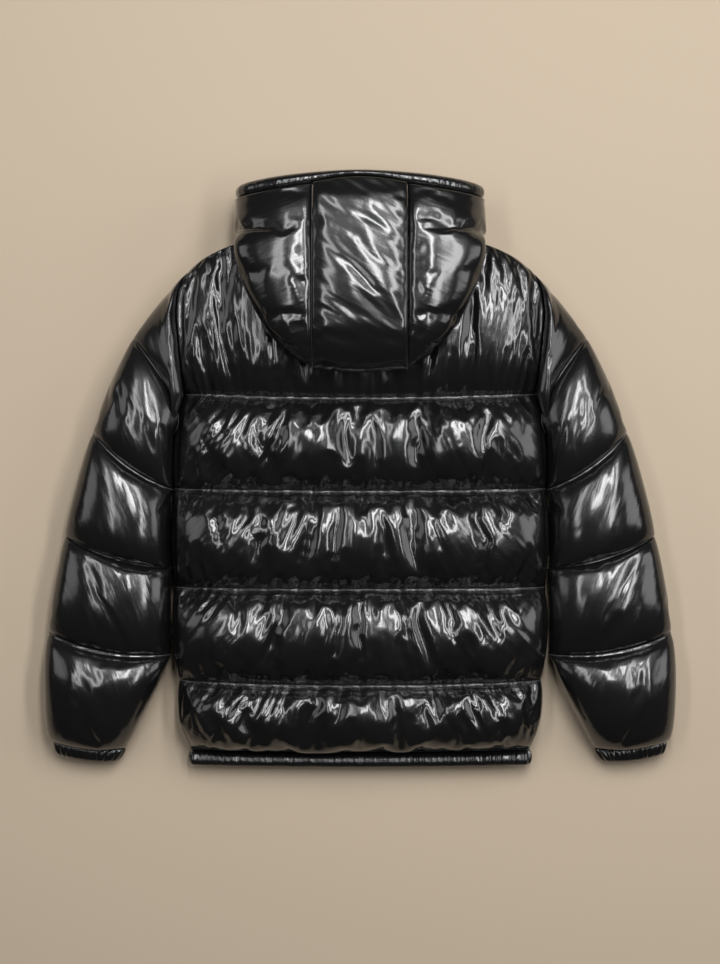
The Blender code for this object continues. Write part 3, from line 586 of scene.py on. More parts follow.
def center_base():
    run = np.concatenate([[0], np.cumsum(np.hypot(*np.diff(CENTER_PATH, axis=0).T))])
    along = np.linspace(0, run[-1], int(run[-1] / HOOD_STEP))
    path = cubic(run, CENTER_PATH, along)
    u = np.linspace(-1, 1, 33)
    x = u[None, :] * CENTER_SEAM_X
    fade = np.clip(1 - along / 60.0, 0, 1)[:, None]
    end = np.clip(1 - np.abs(path[:, :1] - 511.0) / 60.0, 0, 1) * 9.0
    height = path[:, :1] - rim_drop(x) * fade + end * u[None, :] ** 2
    crown = 7.0 * (1 - np.abs(u[None, :]) ** 2.4) ** 0.55 - 5.0
    out = np.gradient(path, axis=0)
    out = np.stack([out[:, 1], -out[:, 0]], axis=-1) / np.linalg.norm(out, axis=-1, keepdims=True)
    height = height - out[:, :1] * crown
    z = path[:, 1:] - out[:, 1:] * crown * -1
    points = to_world(x, height, z)[:, ::-1]
    return points, seam_pins(points, [0, -1])


def side_base(sign):
    rows = np.linspace(0, 1, int(245 / HOOD_STEP))
    extra = np.array([[SIDE_BAG, 60.8, 125.0, 94.0]])
    outline = np.concatenate([HOOD_OUTLINE, extra])
    heights = SIDE_TOP + (SIDE_BAG - SIDE_TOP) * rows
    values = cubic(-outline[:, 0], outline[:, 1:], -heights)
    half, top, under = values[:, 0:1], values[:, 1:2], values[:, 2:3]
    limb_end = np.clip((heights - 678.0) / 16.0, 0, 1)[:, None] * 75.6 + CENTER_SEAM_X + HOOD_GAP
    turn = np.linspace(np.pi / 2, -np.pi / 2, 76)[None, :]
    c, s = np.cos(turn), np.sin(turn)
    across, rise = np.clip(c, 0, 1) ** 0.8, np.abs(s) ** 0.8
    start = np.where(s >= 0, CENTER_SEAM_X + HOOD_GAP, limb_end)
    x = start + (half - start) * across
    middle = (top + under) / 2
    z = np.where(s > 0, middle + (top - middle) * rise, middle + (under - middle) * rise)
    seam_dip = np.exp(-np.clip(x - CENTER_SEAM_X, 0, 200) / 7.0) * 5.0
    z = z - np.where(s > 0, seam_dip * np.clip((top - under) / 40.0, 0, 1), 0.0)
    fade = np.clip((heights[:, None] - 690.0) / 60.0, 0, 1)
    height = heights[:, None] - (rim_drop(x) - 9.0) * fade
    points = to_world(sign * x, height, z)
    if sign > 0:
        points = points[:, ::-1]
    return points, seam_pins(points, [0, -1])


PANELS = {}             # filled panels, as grids of points
FOLDS = {}              # fold coordinates of each panel's points
SEAM_ROWS = {}          # rows of each panel's grid that are seams


# ---- materials ----

CREASE = (1.0, 0.13, 0.6)   # creases run long along their second coordinate

class Socket:
    """A shader value that takes part in Python expressions; each expression adds its Math nodes."""

    def __init__(self, tree, link):
        self.tree = tree
        self.link = link

    def _math(self, operation, *values):
        return self.tree.node("ShaderNodeMath", {"operation": operation}, list(values))

    def __add__(self, other):
        return self._math("ADD", self, other)

    def __mul__(self, other):
        return self._math("MULTIPLY", self, other)

    def __sub__(self, other):
        return self._math("SUBTRACT", self, other)

    def __rsub__(self, other):
        return self._math("SUBTRACT", other, self)

    __radd__ = __add__
    __rmul__ = __mul__


class Finish:
    """A node material: every node comes from one method."""

    def __init__(self, name):
        self.material = bpy.data.materials.new(name)
        self.material.use_nodes = True
        self.nodes = self.material.node_tree.nodes
        self.links = self.material.node_tree.links
        self.shader = self.nodes["Principled BSDF"]

    def node(self, kind, settings, values, output=0):
        made = self.nodes.new(kind)
        for key, value in settings.items():
            setattr(made, key, value)
        pairs = values.items() if isinstance(values, dict) else enumerate(values)
        for key, value in pairs:
            self.put(made.inputs[key], value)
        return Socket(self, made.outputs[output])

    def put(self, target, value):
        if isinstance(value, Socket):
            self.links.new(value.link, target)
        else:
            target.default_value = value

    def set(self, **values):
        for key, value in values.items():
            self.put(self.shader.inputs[key.replace("_", " ")], value)

    def noise(self, size, detail=2.0):
        return self.grain(self.node("ShaderNodeTexCoord", {}, {}, "Object"), size, detail)

    def grain(self, point, size, detail):
        return self.node("ShaderNodeTexNoise", {}, {"Vector": point, "Scale": 1.0 / size, "Detail": detail})

    def mix(self, factor, first, second):
        colours = {0: factor, 6: (*first, 1.0), 7: (*second, 1.0)}
        return self.node("ShaderNodeMix", {"data_type": "RGBA"}, colours, 2)

    def bump(self, height, strength, distance):
        return self.node("ShaderNodeBump", {}, {"Height": height, "Strength": strength, "Distance": distance})


def nylon(name, settings, folded):
    """Wet-look nylon: near black and glossy, creased along its folds over small crinkles."""
    finish = Finish(name)
    if folded:
        point = finish.node("ShaderNodeAttribute", {"attribute_name": "folds"}, {}, "Vector")
    else:
        point = finish.node("ShaderNodeTexCoord", {}, {}, "Object")
    lines = finish.node("ShaderNodeMapping", {}, {"Vector": point, "Scale": CREASE})
    crease = finish.grain(lines, 0.0065, 2.0)
    pleat = finish.grain(lines, 0.016, 1.0)
    crinkle = finish.noise(0.012, 3.0)
    cloud = finish.noise(0.09, 1.0)
    height = crease + pleat * 1.6 + crinkle * 0.35
    dark = tuple(settings.nylon_colour)
    light = tuple(min(1.0, c * 1.6 + 0.001) for c in dark)
    finish.set(Base_Color=finish.mix(cloud, dark, light),
               Roughness=cloud * 0.1 + (settings.gloss - 0.05),
               Normal=finish.bump(height, 0.5, 0.0009),
               Specular_IOR_Level=0.5, Coat_Weight=0.35, Coat_Roughness=0.1)
    return finish.material


def plain_finish(name, colour, second, roughness, size, depth, metallic=0.0):
    finish = Finish(name)
    grain = finish.noise(size, 2.0)
    finish.set(Base_Color=finish.mix(grain, colour, second), Roughness=grain * 0.15 + roughness,
               Normal=finish.bump(grain, 0.3, depth), Metallic=metallic)
    return finish.material


MATERIALS = {}
PLAIN = {
    # key: name, two colours, roughness, size of the grain, depth of the grain, metallic
    "tape": ("zip_tape", (0.01, 0.01, 0.011), (0.02, 0.02, 0.021), 0.6, 0.0006, 0.0003),
    "thread": ("thread", (0.05, 0.05, 0.052), (0.09, 0.09, 0.092), 0.35, 0.0005, 0.0001),
    "metal": ("zip_metal", (0.04, 0.04, 0.042), (0.07, 0.07, 0.072), 0.3, 0.002, 0.0001, 0.9),
    "floor": ("floor", (0.42, 0.342, 0.256), (0.43, 0.35, 0.263), 0.8, 0.5, 0.0),
}


def mark_folds(item, folds):
    """Store where each point lies across and along the folds, metres. The backing repeats the face's values."""
    values = np.zeros((len(item.data.vertices), 3))
    flat = folds.reshape(-1, 3)
    count = min(len(flat), len(values))
    values[:count] = flat[:count]
    spare = len(values) - count
    if spare:
        values[count:] = flat[np.linspace(0, len(flat) - 1, spare).astype(int)]
    layer = item.data.attributes.new("folds", "FLOAT_VECTOR", "POINT")
    layer.data.foreach_set("vector", values.reshape(-1))


def fold_field(points, across):
    """Fold coordinates of a grid's points, from the direction across its folds."""
    flat = points[..., 0] * across[0] + points[..., 1] * across[1]
    along = -points[..., 0] * across[1] + points[..., 1] * across[0]
    return np.stack([flat, along, points[..., 2] * 0.5], axis=-1)


def dress(item, finish, slot, *nodes):
    """Give a finished piece its material and its place in the frame."""
    item.data.materials.clear()
    item.data.materials.append(MATERIALS[finish])
    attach(item, "jacket")
    if nodes:
        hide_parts(*nodes)
    return item


# ---- settings and operators ----

SLEEVE_ACROSS = (0.93, -0.37)   # directions across a panel's folds, for the wearer's right side
HOOD_ACROSS = (0.5, 0.87)
HOOD_SIDE_ACROSS = (0.35, 0.94)


class JacketSettings(bpy.types.PropertyGroup):
    """Sizes and colours of the jacket."""

    nylon_colour: FloatVectorProperty(name="Nylon", description="Base colour of the shell", subtype="COLOR",
                                      size=3, min=0, max=1, default=(0.0035, 0.0035, 0.0037))
    gloss: FloatProperty(name="Roughness", description="Roughness of the shell", default=0.21, min=0, max=1)
    fullness: FloatProperty(name="Fullness", description="How much larger the cloth is cut than its padding",
                            default=0.1, min=0, max=0.3)
    pressure: FloatProperty(name="Filling", description="Pressure of the filling", default=3.0, min=0)
    frames: IntProperty(name="Settling", description="Steps that the filling is blown up for", default=24,
                        min=2)
    stitch: FloatProperty(name="Stitch", description="Length of a stitch with its gap", default=0.0036,
                          unit="LENGTH", min=0.001)
    thread: FloatProperty(name="Thread", description="Thickness of the thread", default=0.0007,
                          unit="LENGTH", min=0.0001)


class JACKET_OT_filling(bpy.types.Operator):
    """Lay out every padded panel and blow all of them up together"""

    bl_idname = "jacket.filling"
    bl_label = "Cut and fill the panels"

    def execute(self, context):
        settings = context.scene.jacket
        MATERIALS["nylon"] = nylon("black_nylon", settings, False)
        MATERIALS["folded"] = nylon("black_nylon_folded", settings, True)
        for key, values in PLAIN.items():
            MATERIALS[key] = plain_finish(*values)
        force = settings.pressure
        grow = settings.fullness
        points, pinned, SEAM_ROWS["back"], place = back_base()
        FOLDS["back"] = body_folds(points, place)
        points[..., 2] += GATHER_DEPTH * MM * gathers(FOLDS["back"], place, SEED)
        Padding.add("back", points, pinned, gather=grow * 0.1, stretch=(1, 0, grow * 0.85),
                    pressure=force * 2.4)
        for side, sign in (("left", -1), ("right", 1)):
            points, pinned, SEAM_ROWS["front"] = front_base(sign)
            Padding.add("front_" + side, pucker_seed(points, SEED + 20 + sign, 0.3), pinned,
                        gather=0.03, stretch=(1, 0, 0.03), pressure=force)
            points, pinned, SEAM_ROWS["sleeve"] = sleeve_base(sign)
            across = (SLEEVE_ACROSS[0], SLEEVE_ACROSS[1] * sign)
            FOLDS["sleeve_" + side] = fold_field(points, across)
            Padding.add("sleeve_" + side, pucker_seed(points, SEED + 30 + sign, 0.25), pinned, True,
                        gather=grow * 0.7, stretch=(*across, grow * 0.13), pressure=force * 1.4, swell=0.2)
            points, pinned = side_base(sign)
            FOLDS["hood_side_" + side] = fold_field(points, (HOOD_SIDE_ACROSS[0] * sign, HOOD_SIDE_ACROSS[1]))
            Padding.add("hood_side_" + side, pucker_seed(points, SEED + 40 + sign, 0.2), pinned,
                        gather=grow * 0.6, stretch=(HOOD_ACROSS[0] * sign, HOOD_ACROSS[1], grow * 0.25),
                        pressure=force * 0.3, swell=0.0, limit=5.0)
        points, pinned = center_base()
        FOLDS["hood_center"] = fold_field(points, HOOD_ACROSS)
        Padding.add("hood_center", pucker_seed(points, SEED + 50, 0.2), pinned,
                    gather=grow * 0.45, stretch=(*HOOD_ACROSS, grow * 0.13), pressure=force * 0.3,
                    swell=0.0, limit=8.0)
        PANELS.update(Padding.blow(settings.frames))
        return {"FINISHED"}


def rest_on_floor(points, lowest=0.0004):
    points[..., 2] = np.maximum(points[..., 2], lowest)
    return points


class JACKET_OT_back(bpy.types.Operator):
    """The quilted back panel"""

    bl_idname = "jacket.back"
    bl_label = "Back panel"

    def execute(self, context):
        top = refine(PANELS["back"])
        under = top.copy()
        inward = EDGE_LEVEL * MM + 0.001
        under[..., 2] = np.minimum(inward, top[..., 2] - 0.003)
        item = backed_grid("back_cloth", top, under, 8)
        mark_folds(item, refine(FOLDS["back"]))
        dress(item, "folded", "shell", "back_panel")
        return {"FINISHED"}


class JACKET_OT_fronts(bpy.types.Operator):
    """The two fronts, pressed flat by the jacket's weight"""

    bl_idname = "jacket.fronts"
    bl_label = "Fronts"

    def execute(self, context):
        for side in ("left", "right"):
            skin = rest_on_floor(refine(PANELS["front_" + side]))
            inner = skin.copy()
            inner[..., 2] = np.clip(skin[..., 2] + 0.006, 0.02, EDGE_LEVEL * MM - 0.001)
            item = backed_grid(f"front_{side}_cloth", skin, inner, 4)
            dress(item, "nylon", "shell", "front_" + side)
        return {"FINISHED"}


class JACKET_OT_sleeves(bpy.types.Operator):
    """The two quilted sleeves"""

    bl_idname = "jacket.sleeves"
    bl_label = "Sleeves"

    def execute(self, context):
        for side in ("left", "right"):
            skin = rest_on_floor(refine(PANELS["sleeve_" + side], True))
            item = capped_tube(f"sleeve_{side}_cloth", skin)
            mark_folds(item, refine(FOLDS["sleeve_" + side], True))
            dress(item, "folded", "shell", "sleeve_" + side)
        return {"FINISHED"}


HOOD_LINING = 0.016     # from the hood's shell to its lining
HOOD_PROBE = slice(20, 70)  # rows whose section shows which way the shell faces


class JACKET_OT_hood(bpy.types.Operator):
    """The hood's three panels"""

    bl_idname = "jacket.hood"
    bl_label = "Hood"

    def execute(self, context):
        for name in ("hood_center", "hood_side_left", "hood_side_right"):
            skin = rest_on_floor(refine(PANELS[name]))
            outward = grid_normals(skin)
            section = skin[HOOD_PROBE]
            facing = ((section - section.mean(axis=(0, 1))) * outward[HOOD_PROBE]).sum()
            lining = rest_on_floor(skin - outward * HOOD_LINING * np.sign(facing))
            item = backed_grid(name + "_cloth", skin, lining, 6)
            mark_folds(item, refine(FOLDS[name]))
            dress(item, "folded", "shell", name)
        return {"FINISHED"}


# ---- bands ----

BAND_SIDES = 12         # points round a band's section
BAND_STEP = 0.95        # spacing along it, millimetres
HEM_FRONT_LEVEL = 17.2
HEM_BACK_LEVEL = 25.6
CUFF_ENDS = (
    # inner_x, inner_h, outer_x, outer_h; middle level and height of the ring
    ((309.5, 25.5, 400.5, 38.5), 18.0, 24.0),
    ((320.0, 7.5, 396.5, 17.0), 17.5, 22.0),
)
# Ribs of a band: its thickness, and their pitch and depth, millimetres
HEM_RIBS = (8.0, 8.4, 5.2)
CUFF_RIBS = (7.0, 8.0, 4.6)
RIM_RIBS = (17.0, 15.0, 1.6)


def ruched_band(name, low, high, outward, thick, pitch, depth, seed, closed=False):
    """A flat tube between two curves, gathered by the elastic in it. Curves run along it, metres."""
    count = len(low)
    turn = (np.arange(BAND_SIDES) + 0.5) / BAND_SIDES * 2 * np.pi
    across = 0.5 - 0.5 * np.cos(turn)
    rise = np.sin(turn)
    middle = (low + high) / 2
    steps = np.linalg.norm(np.diff(middle, axis=0), axis=1)
    run = np.concatenate([[0], np.cumsum(steps)]) / MM
    if closed:
        whole = run[-1] + np.linalg.norm(middle[0] - middle[-1]) / MM
        folds = round(whole / pitch)
        phase = run / whole * folds
    else:
        phase = run / pitch
    jitter = value_noise(np.stack([run / 9.0, np.zeros(count)], axis=-1), seed)
    deep = 0.65 + 0.35 * value_noise(np.stack([run / 14.0, np.ones(count)], axis=-1), seed + 1)
    wave = np.abs(np.sin(np.pi * (phase + 0.5 * jitter)))[:, None] ** 0.7 - 0.6
    place = np.stack([run[:, None] / 5.0 + 0 * across, across * 1.3 + 0 * run[:, None]], axis=-1)
    lean = value_noise(place, seed + 2)
    swell = (thick / 2 * rise[None, :] + depth * deep[:, None] * wave * rise[None, :]
             + 0.3 * lean * rise[None, :])
    points = (low[:, None] * (1 - across)[None, :, None] + high[:, None] * across[None, :, None]
              + outward[:, None] * swell[..., None] * MM)
    if not closed:
        return capped_tube(name, points)
    faces = grid_faces(count + 1, BAND_SIDES, True) % (count * BAND_SIDES)
    return face_out(mesh_object(name, points, faces.tolist()))


def curve_normals(path):
    """Unit normals in X and Z of a path in that plane, with Y left at zero."""
    tangent = np.gradient(path, axis=0)
    normal = np.stack([tangent[:, 2], np.zeros(len(path)), -tangent[:, 0]], axis=-1)
    return normal / np.linalg.norm(normal, axis=1, keepdims=True)


def even(path, step):
    """The same path with points at even steps, millimetres."""
    run = np.concatenate([[0], np.cumsum(np.linalg.norm(np.diff(path, axis=0), axis=1))])
    places = np.linspace(0, run[-1], int(run[-1] / step) + 1)
    return np.stack([np.interp(places, run, path[:, i]) for i in range(path.shape[1])], axis=-1)


class JACKET_OT_bands(bpy.types.Operator):
    """Elastic hem band and cuffs"""

    bl_idname = "jacket.bands"
    bl_label = "Hem band and cuffs"

    def execute(self, context):
        half = SEAM_HALF[0]
        turn = np.linspace(-np.pi / 2, np.pi / 2, 12)
        radius = (HEM_BACK_LEVEL - HEM_FRONT_LEVEL) / 2
        fold = np.stack([half - radius - 1 + radius * np.cos(turn),
                         HEM_FRONT_LEVEL + radius + radius * np.sin(turn)], axis=-1)
        right = np.concatenate([[[8.2, HEM_FRONT_LEVEL]], fold, [[0.0, HEM_BACK_LEVEL]]])
        path = even(np.concatenate([right, right[-2::-1] * [-1, 1]]), BAND_STEP)
        rise = SEAM_RISE[0] * (path[:, 0] / half) ** 2
        curl = np.where(path[:, 1] > HEM_BACK_LEVEL - 1, 2.2, 0.0)
        low = to_world(path[:, 0], rise + 0.8, path[:, 1] + curl)
        high = to_world(path[:, 0], rise + SEAM_HEIGHT[0] - 0.5, path[:, 1] - curl)
        item = ruched_band("hem_band_cloth", low, high, curve_normals(low), *HEM_RIBS, SEED + 60)
        dress(item, "nylon", "bands", "hem_band")
        for side, sign in (("left", -1), ("right", 1)):
            turn = np.linspace(0, 2 * np.pi, 240, endpoint=False)
            c = np.sign(np.cos(turn)) * np.abs(np.cos(turn)) ** 0.75
            s = np.sign(np.sin(turn)) * np.abs(np.sin(turn)) ** 0.85
            share = (c + 1) / 2
            curves = []
            for ends, level, tall in CUFF_ENDS:
                x = ends[0] * (1 - share) + ends[2] * share
                height = ends[1] * (1 - share) + ends[3] * share - 3.0 * (1 - (2 * share - 1) ** 2)
                curves.append(to_world(sign * x, height, level + tall / 2 * s))
            outward = curve_normals(curves[0]) * (1.0 if sign > 0 else -1.0)
            centre = curves[0].mean(axis=0)
            facing = np.sign(((curves[0] - centre) * outward).sum(axis=1).mean())
            item = ruched_band(f"cuff_{side}_cloth", curves[1], curves[0], outward * facing, *CUFF_RIBS,
                               SEED + 70 + sign, closed=True)
            dress(item, "nylon", "bands", "cuff_" + side)
        return {"FINISHED"}


RIM_TOP, RIM_UNDER, RIM_HALF = 128.0, 14.0, 152.0   # middle line of the rim's section
RIM_CORNER = 161.0      # half width of the hood at its rim
RIM_SEAM_HEIGHT = 761.6
RIM_EDGE_HEIGHT = 771.0
COLLAR_OUTER = 135.4    # half width of the front ends
COLLAR_SEAM_HEIGHT = 692.0  # their lowest place beside the hood
COLLAR_TOP_HEIGHT = 738.0


class JACKET_OT_rim(bpy.types.Operator):
    """Padded rim of the hood's opening, and the hood's front ends"""

    bl_idname = "jacket.rim"
    bl_label = "Rim and front ends"

    def execute(self, context):
        turn = np.linspace(-np.pi / 2, np.pi / 2, 60)
        c, s = np.clip(np.cos(turn), 0, 1) ** 0.8, np.sign(np.sin(turn)) * np.abs(np.sin(turn)) ** 0.8
        start = np.where(turn < 0, 134.0, CENTER_SEAM_X)
        side = np.stack([start + (RIM_HALF - start) * c,
                         (RIM_TOP + RIM_UNDER) / 2 + (RIM_TOP - 18 - RIM_UNDER) / 2 * s], axis=-1)
        right = np.concatenate([side, [[30.0, RIM_TOP - 7.0], [0.0, RIM_TOP - 6.5]]])
        path = even(np.concatenate([right, right[-2::-1] * [-1, 1]]), 1.9)
        x = path[:, 0]
        outer_x = np.abs(x) * RIM_CORNER / RIM_HALF
        seam = RIM_SEAM_HEIGHT - rim_drop(outer_x)
        edge = RIM_EDGE_HEIGHT - 15.0 * np.clip(outer_x / RIM_CORNER, 0, 1) ** 1.8
        low, high = to_world(x, seam, path[:, 1]), to_world(x, edge, path[:, 1])
        item = ruched_band("hood_rim_cloth", low, high, curve_normals(low), *RIM_RIBS, SEED + 80)
        dress(item, "nylon", "shell", "hood_rim")
        for side, sign in (("left", -1), ("right", 1)):
            u = np.linspace(0, 1, 44)[None, :]
            v = np.linspace(0, 1, 50)[:, None]
            x = ZIP_EDGE + (COLLAR_OUTER - ZIP_EDGE) * u
            low_edge = front_neck(x, cubic(SHOULDER_X, SHOULDER_HEIGHT, x)) + 2.0
            low_edge = np.where(x > FRONT_NECK_REACH, np.maximum(low_edge, COLLAR_SEAM_HEIGHT), low_edge)
            high_edge = COLLAR_TOP_HEIGHT - 4.0 * u
            height = low_edge * (1 - v) + high_edge * v
            puff = (1 - np.abs(2 * v - 1) ** 3) ** 0.5 * (1 - np.abs(2 * u - 1) ** 8) ** 0.5
            x = x + 0 * height
            ripple = value_noise(np.stack([x / 12.0, height / 30.0], axis=-1), SEED + 90 + sign)
            lower = ZIP_SEAM_LEVEL - 12.5 * puff + 0.8 * ripple * puff
            upper = 20.0 + 13.0 * puff
            skin = rest_on_floor(to_world(sign * x, height, lower))
            item = backed_grid(f"collar_{side}_cloth", skin, to_world(sign * x, height, upper), 3)
            dress(item, "nylon", "shell", "collar_" + side)
        return {"FINISHED"}


# ---- zip and stitching, by Geometry Nodes ----

class NodeTree:
    """A Geometry Nodes tree with named inputs."""

    def __init__(self, name, inputs):
        self.tree = bpy.data.node_groups.new(name, "GeometryNodeTree")
        face = self.tree.interface
        face.new_socket("Geometry", in_out="INPUT", socket_type="NodeSocketGeometry")
        for label, kind, default in inputs:
            socket = face.new_socket(label, in_out="INPUT", socket_type=kind)
            if default is not None:
                socket.default_value = default
        face.new_socket("Geometry", in_out="OUTPUT", socket_type="NodeSocketGeometry")
        self.source = self.tree.nodes.new("NodeGroupInput")
        self.sink = self.tree.nodes.new("NodeGroupOutput")

    def node(self, kind, settings, values):
        made = self.tree.nodes.new(kind)
        for key, value in settings.items():
            setattr(made, key, value)
        for key, value in values.items():
            if isinstance(value, bpy.types.NodeSocket):
                self.tree.links.new(value, made.inputs[key])
            else:
                made.inputs[key].default_value = value
        return made

    def repeat(self, piece, points, rotation=None):
        """Put the piece on every point, make it real and give it the tree's material."""
        values = {"Points": points.outputs["Points"], "Instance": piece.outputs["Mesh"]}
        if rotation is not None:
            values["Rotation"] = rotation
        many = self.node("GeometryNodeInstanceOnPoints", {}, values)
        real = self.node("GeometryNodeRealizeInstances", {}, {"Geometry": many.outputs["Instances"]})
        dyed = self.node("GeometryNodeSetMaterial", {}, {
            "Geometry": real.outputs["Geometry"], "Material": self.source.outputs["Material"]})
        self.tree.links.new(dyed.outputs["Geometry"], self.sink.inputs["Geometry"])

    def apply(self, item, values):
        """Evaluate the tree on an object and keep the result as its plain mesh."""
        modifier = item.modifiers.new(self.tree.name, "NODES")
        modifier.node_group = self.tree
        for socket in self.tree.interface.items_tree:
            if socket.in_out == "INPUT" and socket.name in values:
                modifier[socket.identifier] = values[socket.name]
        graph = bpy.context.evaluated_depsgraph_get()
        mesh = bpy.data.meshes.new_from_object(item.evaluated_get(graph))
        item.modifiers.remove(modifier)
        item.data = mesh
        return item


STITCH_SHARE = 0.74     # of a stitch's pitch that the thread shows


def stitch_tree():
    """Short bars of thread laid end to end along lines."""
    made = NodeTree("stitches", (("Pitch", "NodeSocketFloat", 0.0036), ("Thread", "NodeSocketFloat", 0.0007),
                                 ("Material", "NodeSocketMaterial", None)))
    pitch, thread = made.source.outputs["Pitch"], made.source.outputs["Thread"]
    curve = made.node("GeometryNodeMeshToCurve", {}, {"Mesh": made.source.outputs["Geometry"]})
    points = made.node("GeometryNodeCurveToPoints", {"mode": "LENGTH"},
                       {"Curve": curve.outputs["Curve"], "Length": pitch})
    long = made.node("ShaderNodeMath", {"operation": "MULTIPLY"}, {0: pitch, 1: STITCH_SHARE})
    radius = made.node("ShaderNodeMath", {"operation": "MULTIPLY"}, {0: thread, 1: 0.5})
    one = made.node("GeometryNodeMeshCylinder", {}, {
        "Vertices": 6, "Radius": radius.outputs[0], "Depth": long.outputs[0]})
    turn = made.node("FunctionNodeAlignRotationToVector", {"axis": "Z"}, {"Vector": points.outputs["Tangent"]})
    made.repeat(one, points, turn.outputs["Rotation"])
    return made


def teeth_tree():
    """Blocks at even steps along lines."""
    made = NodeTree("teeth", (("Pitch", "NodeSocketFloat", 0.0026), ("Size", "NodeSocketVector", None),
                              ("Material", "NodeSocketMaterial", None)))
    curve = made.node("GeometryNodeMeshToCurve", {}, {"Mesh": made.source.outputs["Geometry"]})
    points = made.node("GeometryNodeCurveToPoints", {"mode": "LENGTH"},
                       {"Curve": curve.outputs["Curve"], "Length": made.source.outputs["Pitch"]})
    one = made.node("GeometryNodeMeshCube", {}, {"Size": made.source.outputs["Size"]})
    made.repeat(one, points)
    return made


def line_object(name, lines):
    """Open polylines as one mesh of edges."""
    points, edges = [], []
    for line in lines:
        start = len(points)
        points += line.tolist()
        edges += [(start + i, start + i + 1) for i in range(len(line) - 1)]
    return mesh_object(name, points, [], edges, smooth=False)


SEAM_REACH = 3          # grid points from a seam to the cloth that shows which way is out


def seam_line(skin, row, lift, column=None):
    """The line of a seam on a refined grid, moved out of the cloth."""
    if column is None:
        line = skin[row]
        near = np.clip([row - SEAM_REACH, row + SEAM_REACH], 0, skin.shape[0] - 1)
        around = (skin[near[0]] + skin[near[1]]) / 2
    else:
        line = skin[:, column]
        near = np.clip([column - SEAM_REACH, column + SEAM_REACH], 0, skin.shape[1] - 1)
        around = (skin[:, near[0]] + skin[:, near[1]]) / 2
    out = around - line
    out = out / np.maximum(np.linalg.norm(out, axis=1, keepdims=True), 1e-9)
    return line + out * lift


class JACKET_OT_stitching(bpy.types.Operator):
    """Rows of stitches along the quilting seams of the back and the sleeves, and along the hood's panel seams
    """

    bl_idname = "jacket.stitching"
    bl_label = "Stitching"

    def execute(self, context):
        settings = context.scene.jacket
        tree = stitch_tree()
        values = {"Pitch": settings.stitch, "Thread": settings.thread, "Material": MATERIALS["thread"]}
        lift = settings.thread * 0.6
        groups = {"back": [], "sleeves": [], "hood": []}
        skin = refine(PANELS["back"])
        groups["back"] = [seam_line(skin, 2 * row, lift) for row in SEAM_ROWS["back"][:-1]]
        for side in ("left", "right"):
            skin = rest_on_floor(refine(PANELS["sleeve_" + side], True))
            groups["sleeves"] += [seam_line(skin, 2 * row, lift) for row in SEAM_ROWS["sleeve"][1:-1]]
            skin = refine(PANELS["hood_side_" + side])
            groups["hood"].append(seam_line(skin, 0, lift, column=-1 if side == "right" else 0)[4:])
        for name, lines in groups.items():
            item = tree.apply(line_object(name + "_stitches", lines), values)
            dress(item, "thread", "shell")
        return {"FINISHED"}


ZIP_LEVEL = 17.0        # middle of the teeth above the floor, millimetres
TOOTH_SIZE = (0.0038, 0.0011, 0.0030)
TOOTH_PITCH = 0.0026
TOOTH_SIDE = 0.0011     # from the middle line to a row of teeth
TOOTH_END = 0.002       # from the chain's ends to its first and last teeth


class JACKET_OT_zip(bpy.types.Operator):
    """Zip teeth, and the finish of the tapes, slider and pull"""

    bl_idname = "jacket.zip"
    bl_label = "Zip"

    def execute(self, context):
        tree = teeth_tree()
        low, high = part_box("zip_chain")
        lines = []
        for sign in (-1, 1):
            shift = 0.0013 * (sign + 1) / 2
            height = np.array([low[1] + TOOTH_END + shift, high[1] - TOOTH_END])
            lines.append(np.stack([np.full(2, sign * TOOTH_SIDE), height, np.full(2, ZIP_LEVEL * MM)], axis=-1))
        item = tree.apply(line_object("zip_teeth", lines), {
            "Pitch": TOOTH_PITCH, "Size": TOOTH_SIZE, "Material": MATERIALS["metal"]})
        dress(item, "metal", "zip_metal", "zip_chain")
        for node, finish in (("zip_tape_left", "tape"), ("zip_tape_right", "tape"), ("zip_slider", "metal"),
                             ("zip_pull", "metal")):
            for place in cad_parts[node].material_slots:
                place.material = MATERIALS[finish]
        return {"FINISHED"}


CAMERA_HEIGHT = 3.2     # above the floor, metres
CAMERA_Y = -0.0115
VIEW_HEIGHT = 1.2532    # what the picture's height takes in, at the jacket's level
JACKET_LEVEL = 0.05
SENSOR = 24.0           # millimetres
FLOOR_REACH = 4.0
SKY = ((1.0, 0.96, 0.9, 1.0), 0.04)     # colour and strength
LIGHTS = (
    # name, place, size, power
    ("panel", (0.4, 1.7, 2.3), (3.0, 1.6), 9.0),
    ("strip_one", (0.22, 1.05, 2.5), (0.28, 1.7), 38.0),
    ("strip_two", (1.0, 0.75, 2.3), (0.28, 2.5), 34.0),
    ("strip_three", (-0.8, 0.7, 2.4), (0.24, 2.3), 18.0),
    ("side", (-2.4, 0.6, 1.5), (1.4, 1.6), 11.0),
    ("right", (2.4, 0.4, 1.5), (1.4, 1.6), 19.0),
)


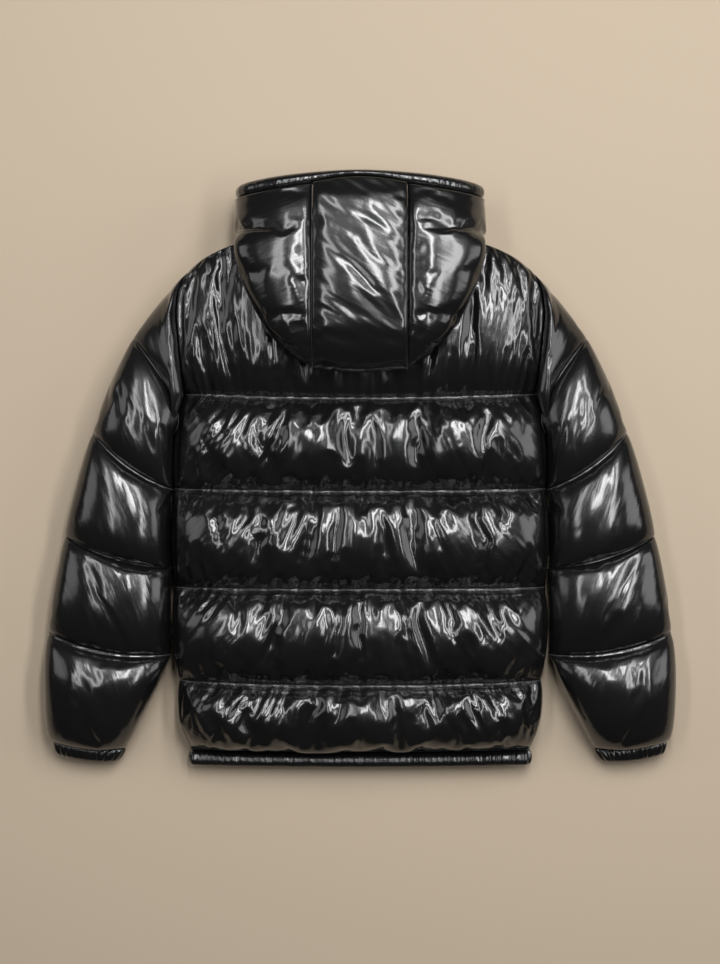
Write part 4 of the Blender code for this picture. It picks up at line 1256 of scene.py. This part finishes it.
class JACKET_OT_stage(bpy.types.Operator):
    """Floor, lights and camera"""

    bl_idname = "jacket.stage"
    bl_label = "Studio"

    def execute(self, context):
        scene = context.scene
        corners = FLOOR_REACH * np.array([[-1, -1, 0], [1, -1, 0], [1, 1, 0], [-1, 1, 0]])
        floor = mesh_object("floor", corners, [[0, 1, 2, 3]], smooth=False)
        floor.data.materials.append(MATERIALS["floor"])
        world = bpy.data.worlds.new("studio")
        scene.world = world
        world.use_nodes = True
        sky = world.node_tree.nodes["Background"]
        sky.inputs["Color"].default_value, sky.inputs["Strength"].default_value = SKY
        scene.view_settings.view_transform = "Standard"
        for name, place, size, power in LIGHTS:
            light = bpy.data.lights.new(name, "AREA")
            light.shape = "RECTANGLE"
            light.size, light.size_y = size
            light.energy = power
            lamp = bpy.data.objects.new(name, light)
            scene.collection.objects.link(lamp)
            lamp.location = place
            back = Vector(place).normalized()
            long = (Vector((0, 1, 0)) - back * back.y).normalized()
            lamp.rotation_euler = Matrix((long.cross(back), long, back)).transposed().to_euler()
        lens = bpy.data.cameras.new("camera")
        camera = bpy.data.objects.new("camera", lens)
        scene.collection.objects.link(camera)
        camera.location = (0.0, CAMERA_Y, CAMERA_HEIGHT)
        lens.sensor_fit = "VERTICAL"
        lens.sensor_height = SENSOR
        lens.lens = SENSOR * (CAMERA_HEIGHT - JACKET_LEVEL) / VIEW_HEIGHT
        scene.camera = camera
        return {"FINISHED"}


STEPS = ("filling", "back", "fronts", "sleeves", "hood", "bands", "rim", "stitching", "zip", "stage")


class JACKET_PT_steps(bpy.types.Panel):
    """Settings of the jacket and the steps that build it."""

    bl_idname = "JACKET_PT_steps"
    bl_label = "Puffer jacket"
    bl_space_type = "VIEW_3D"
    bl_region_type = "UI"
    bl_category = "Jacket"

    def draw(self, context):
        settings = context.scene.jacket
        for name in settings.__annotations__:
            self.layout.prop(settings, name)
        for step in STEPS:
            self.layout.operator("jacket." + step)


CLASSES = (JacketSettings, JACKET_OT_filling, JACKET_OT_back, JACKET_OT_fronts, JACKET_OT_sleeves,
           JACKET_OT_hood, JACKET_OT_bands, JACKET_OT_rim, JACKET_OT_stitching, JACKET_OT_zip, JACKET_OT_stage, JACKET_PT_steps)


def register():
    for item in CLASSES:
        bpy.utils.register_class(item)
    bpy.types.Scene.jacket = PointerProperty(type=JacketSettings)


def unregister():
    del bpy.types.Scene.jacket
    for item in reversed(CLASSES):
        bpy.utils.unregister_class(item)


def main():
    register()
    for step in STEPS:
        getattr(bpy.ops.jacket, step)()


if __name__ == "__main__":
    main()
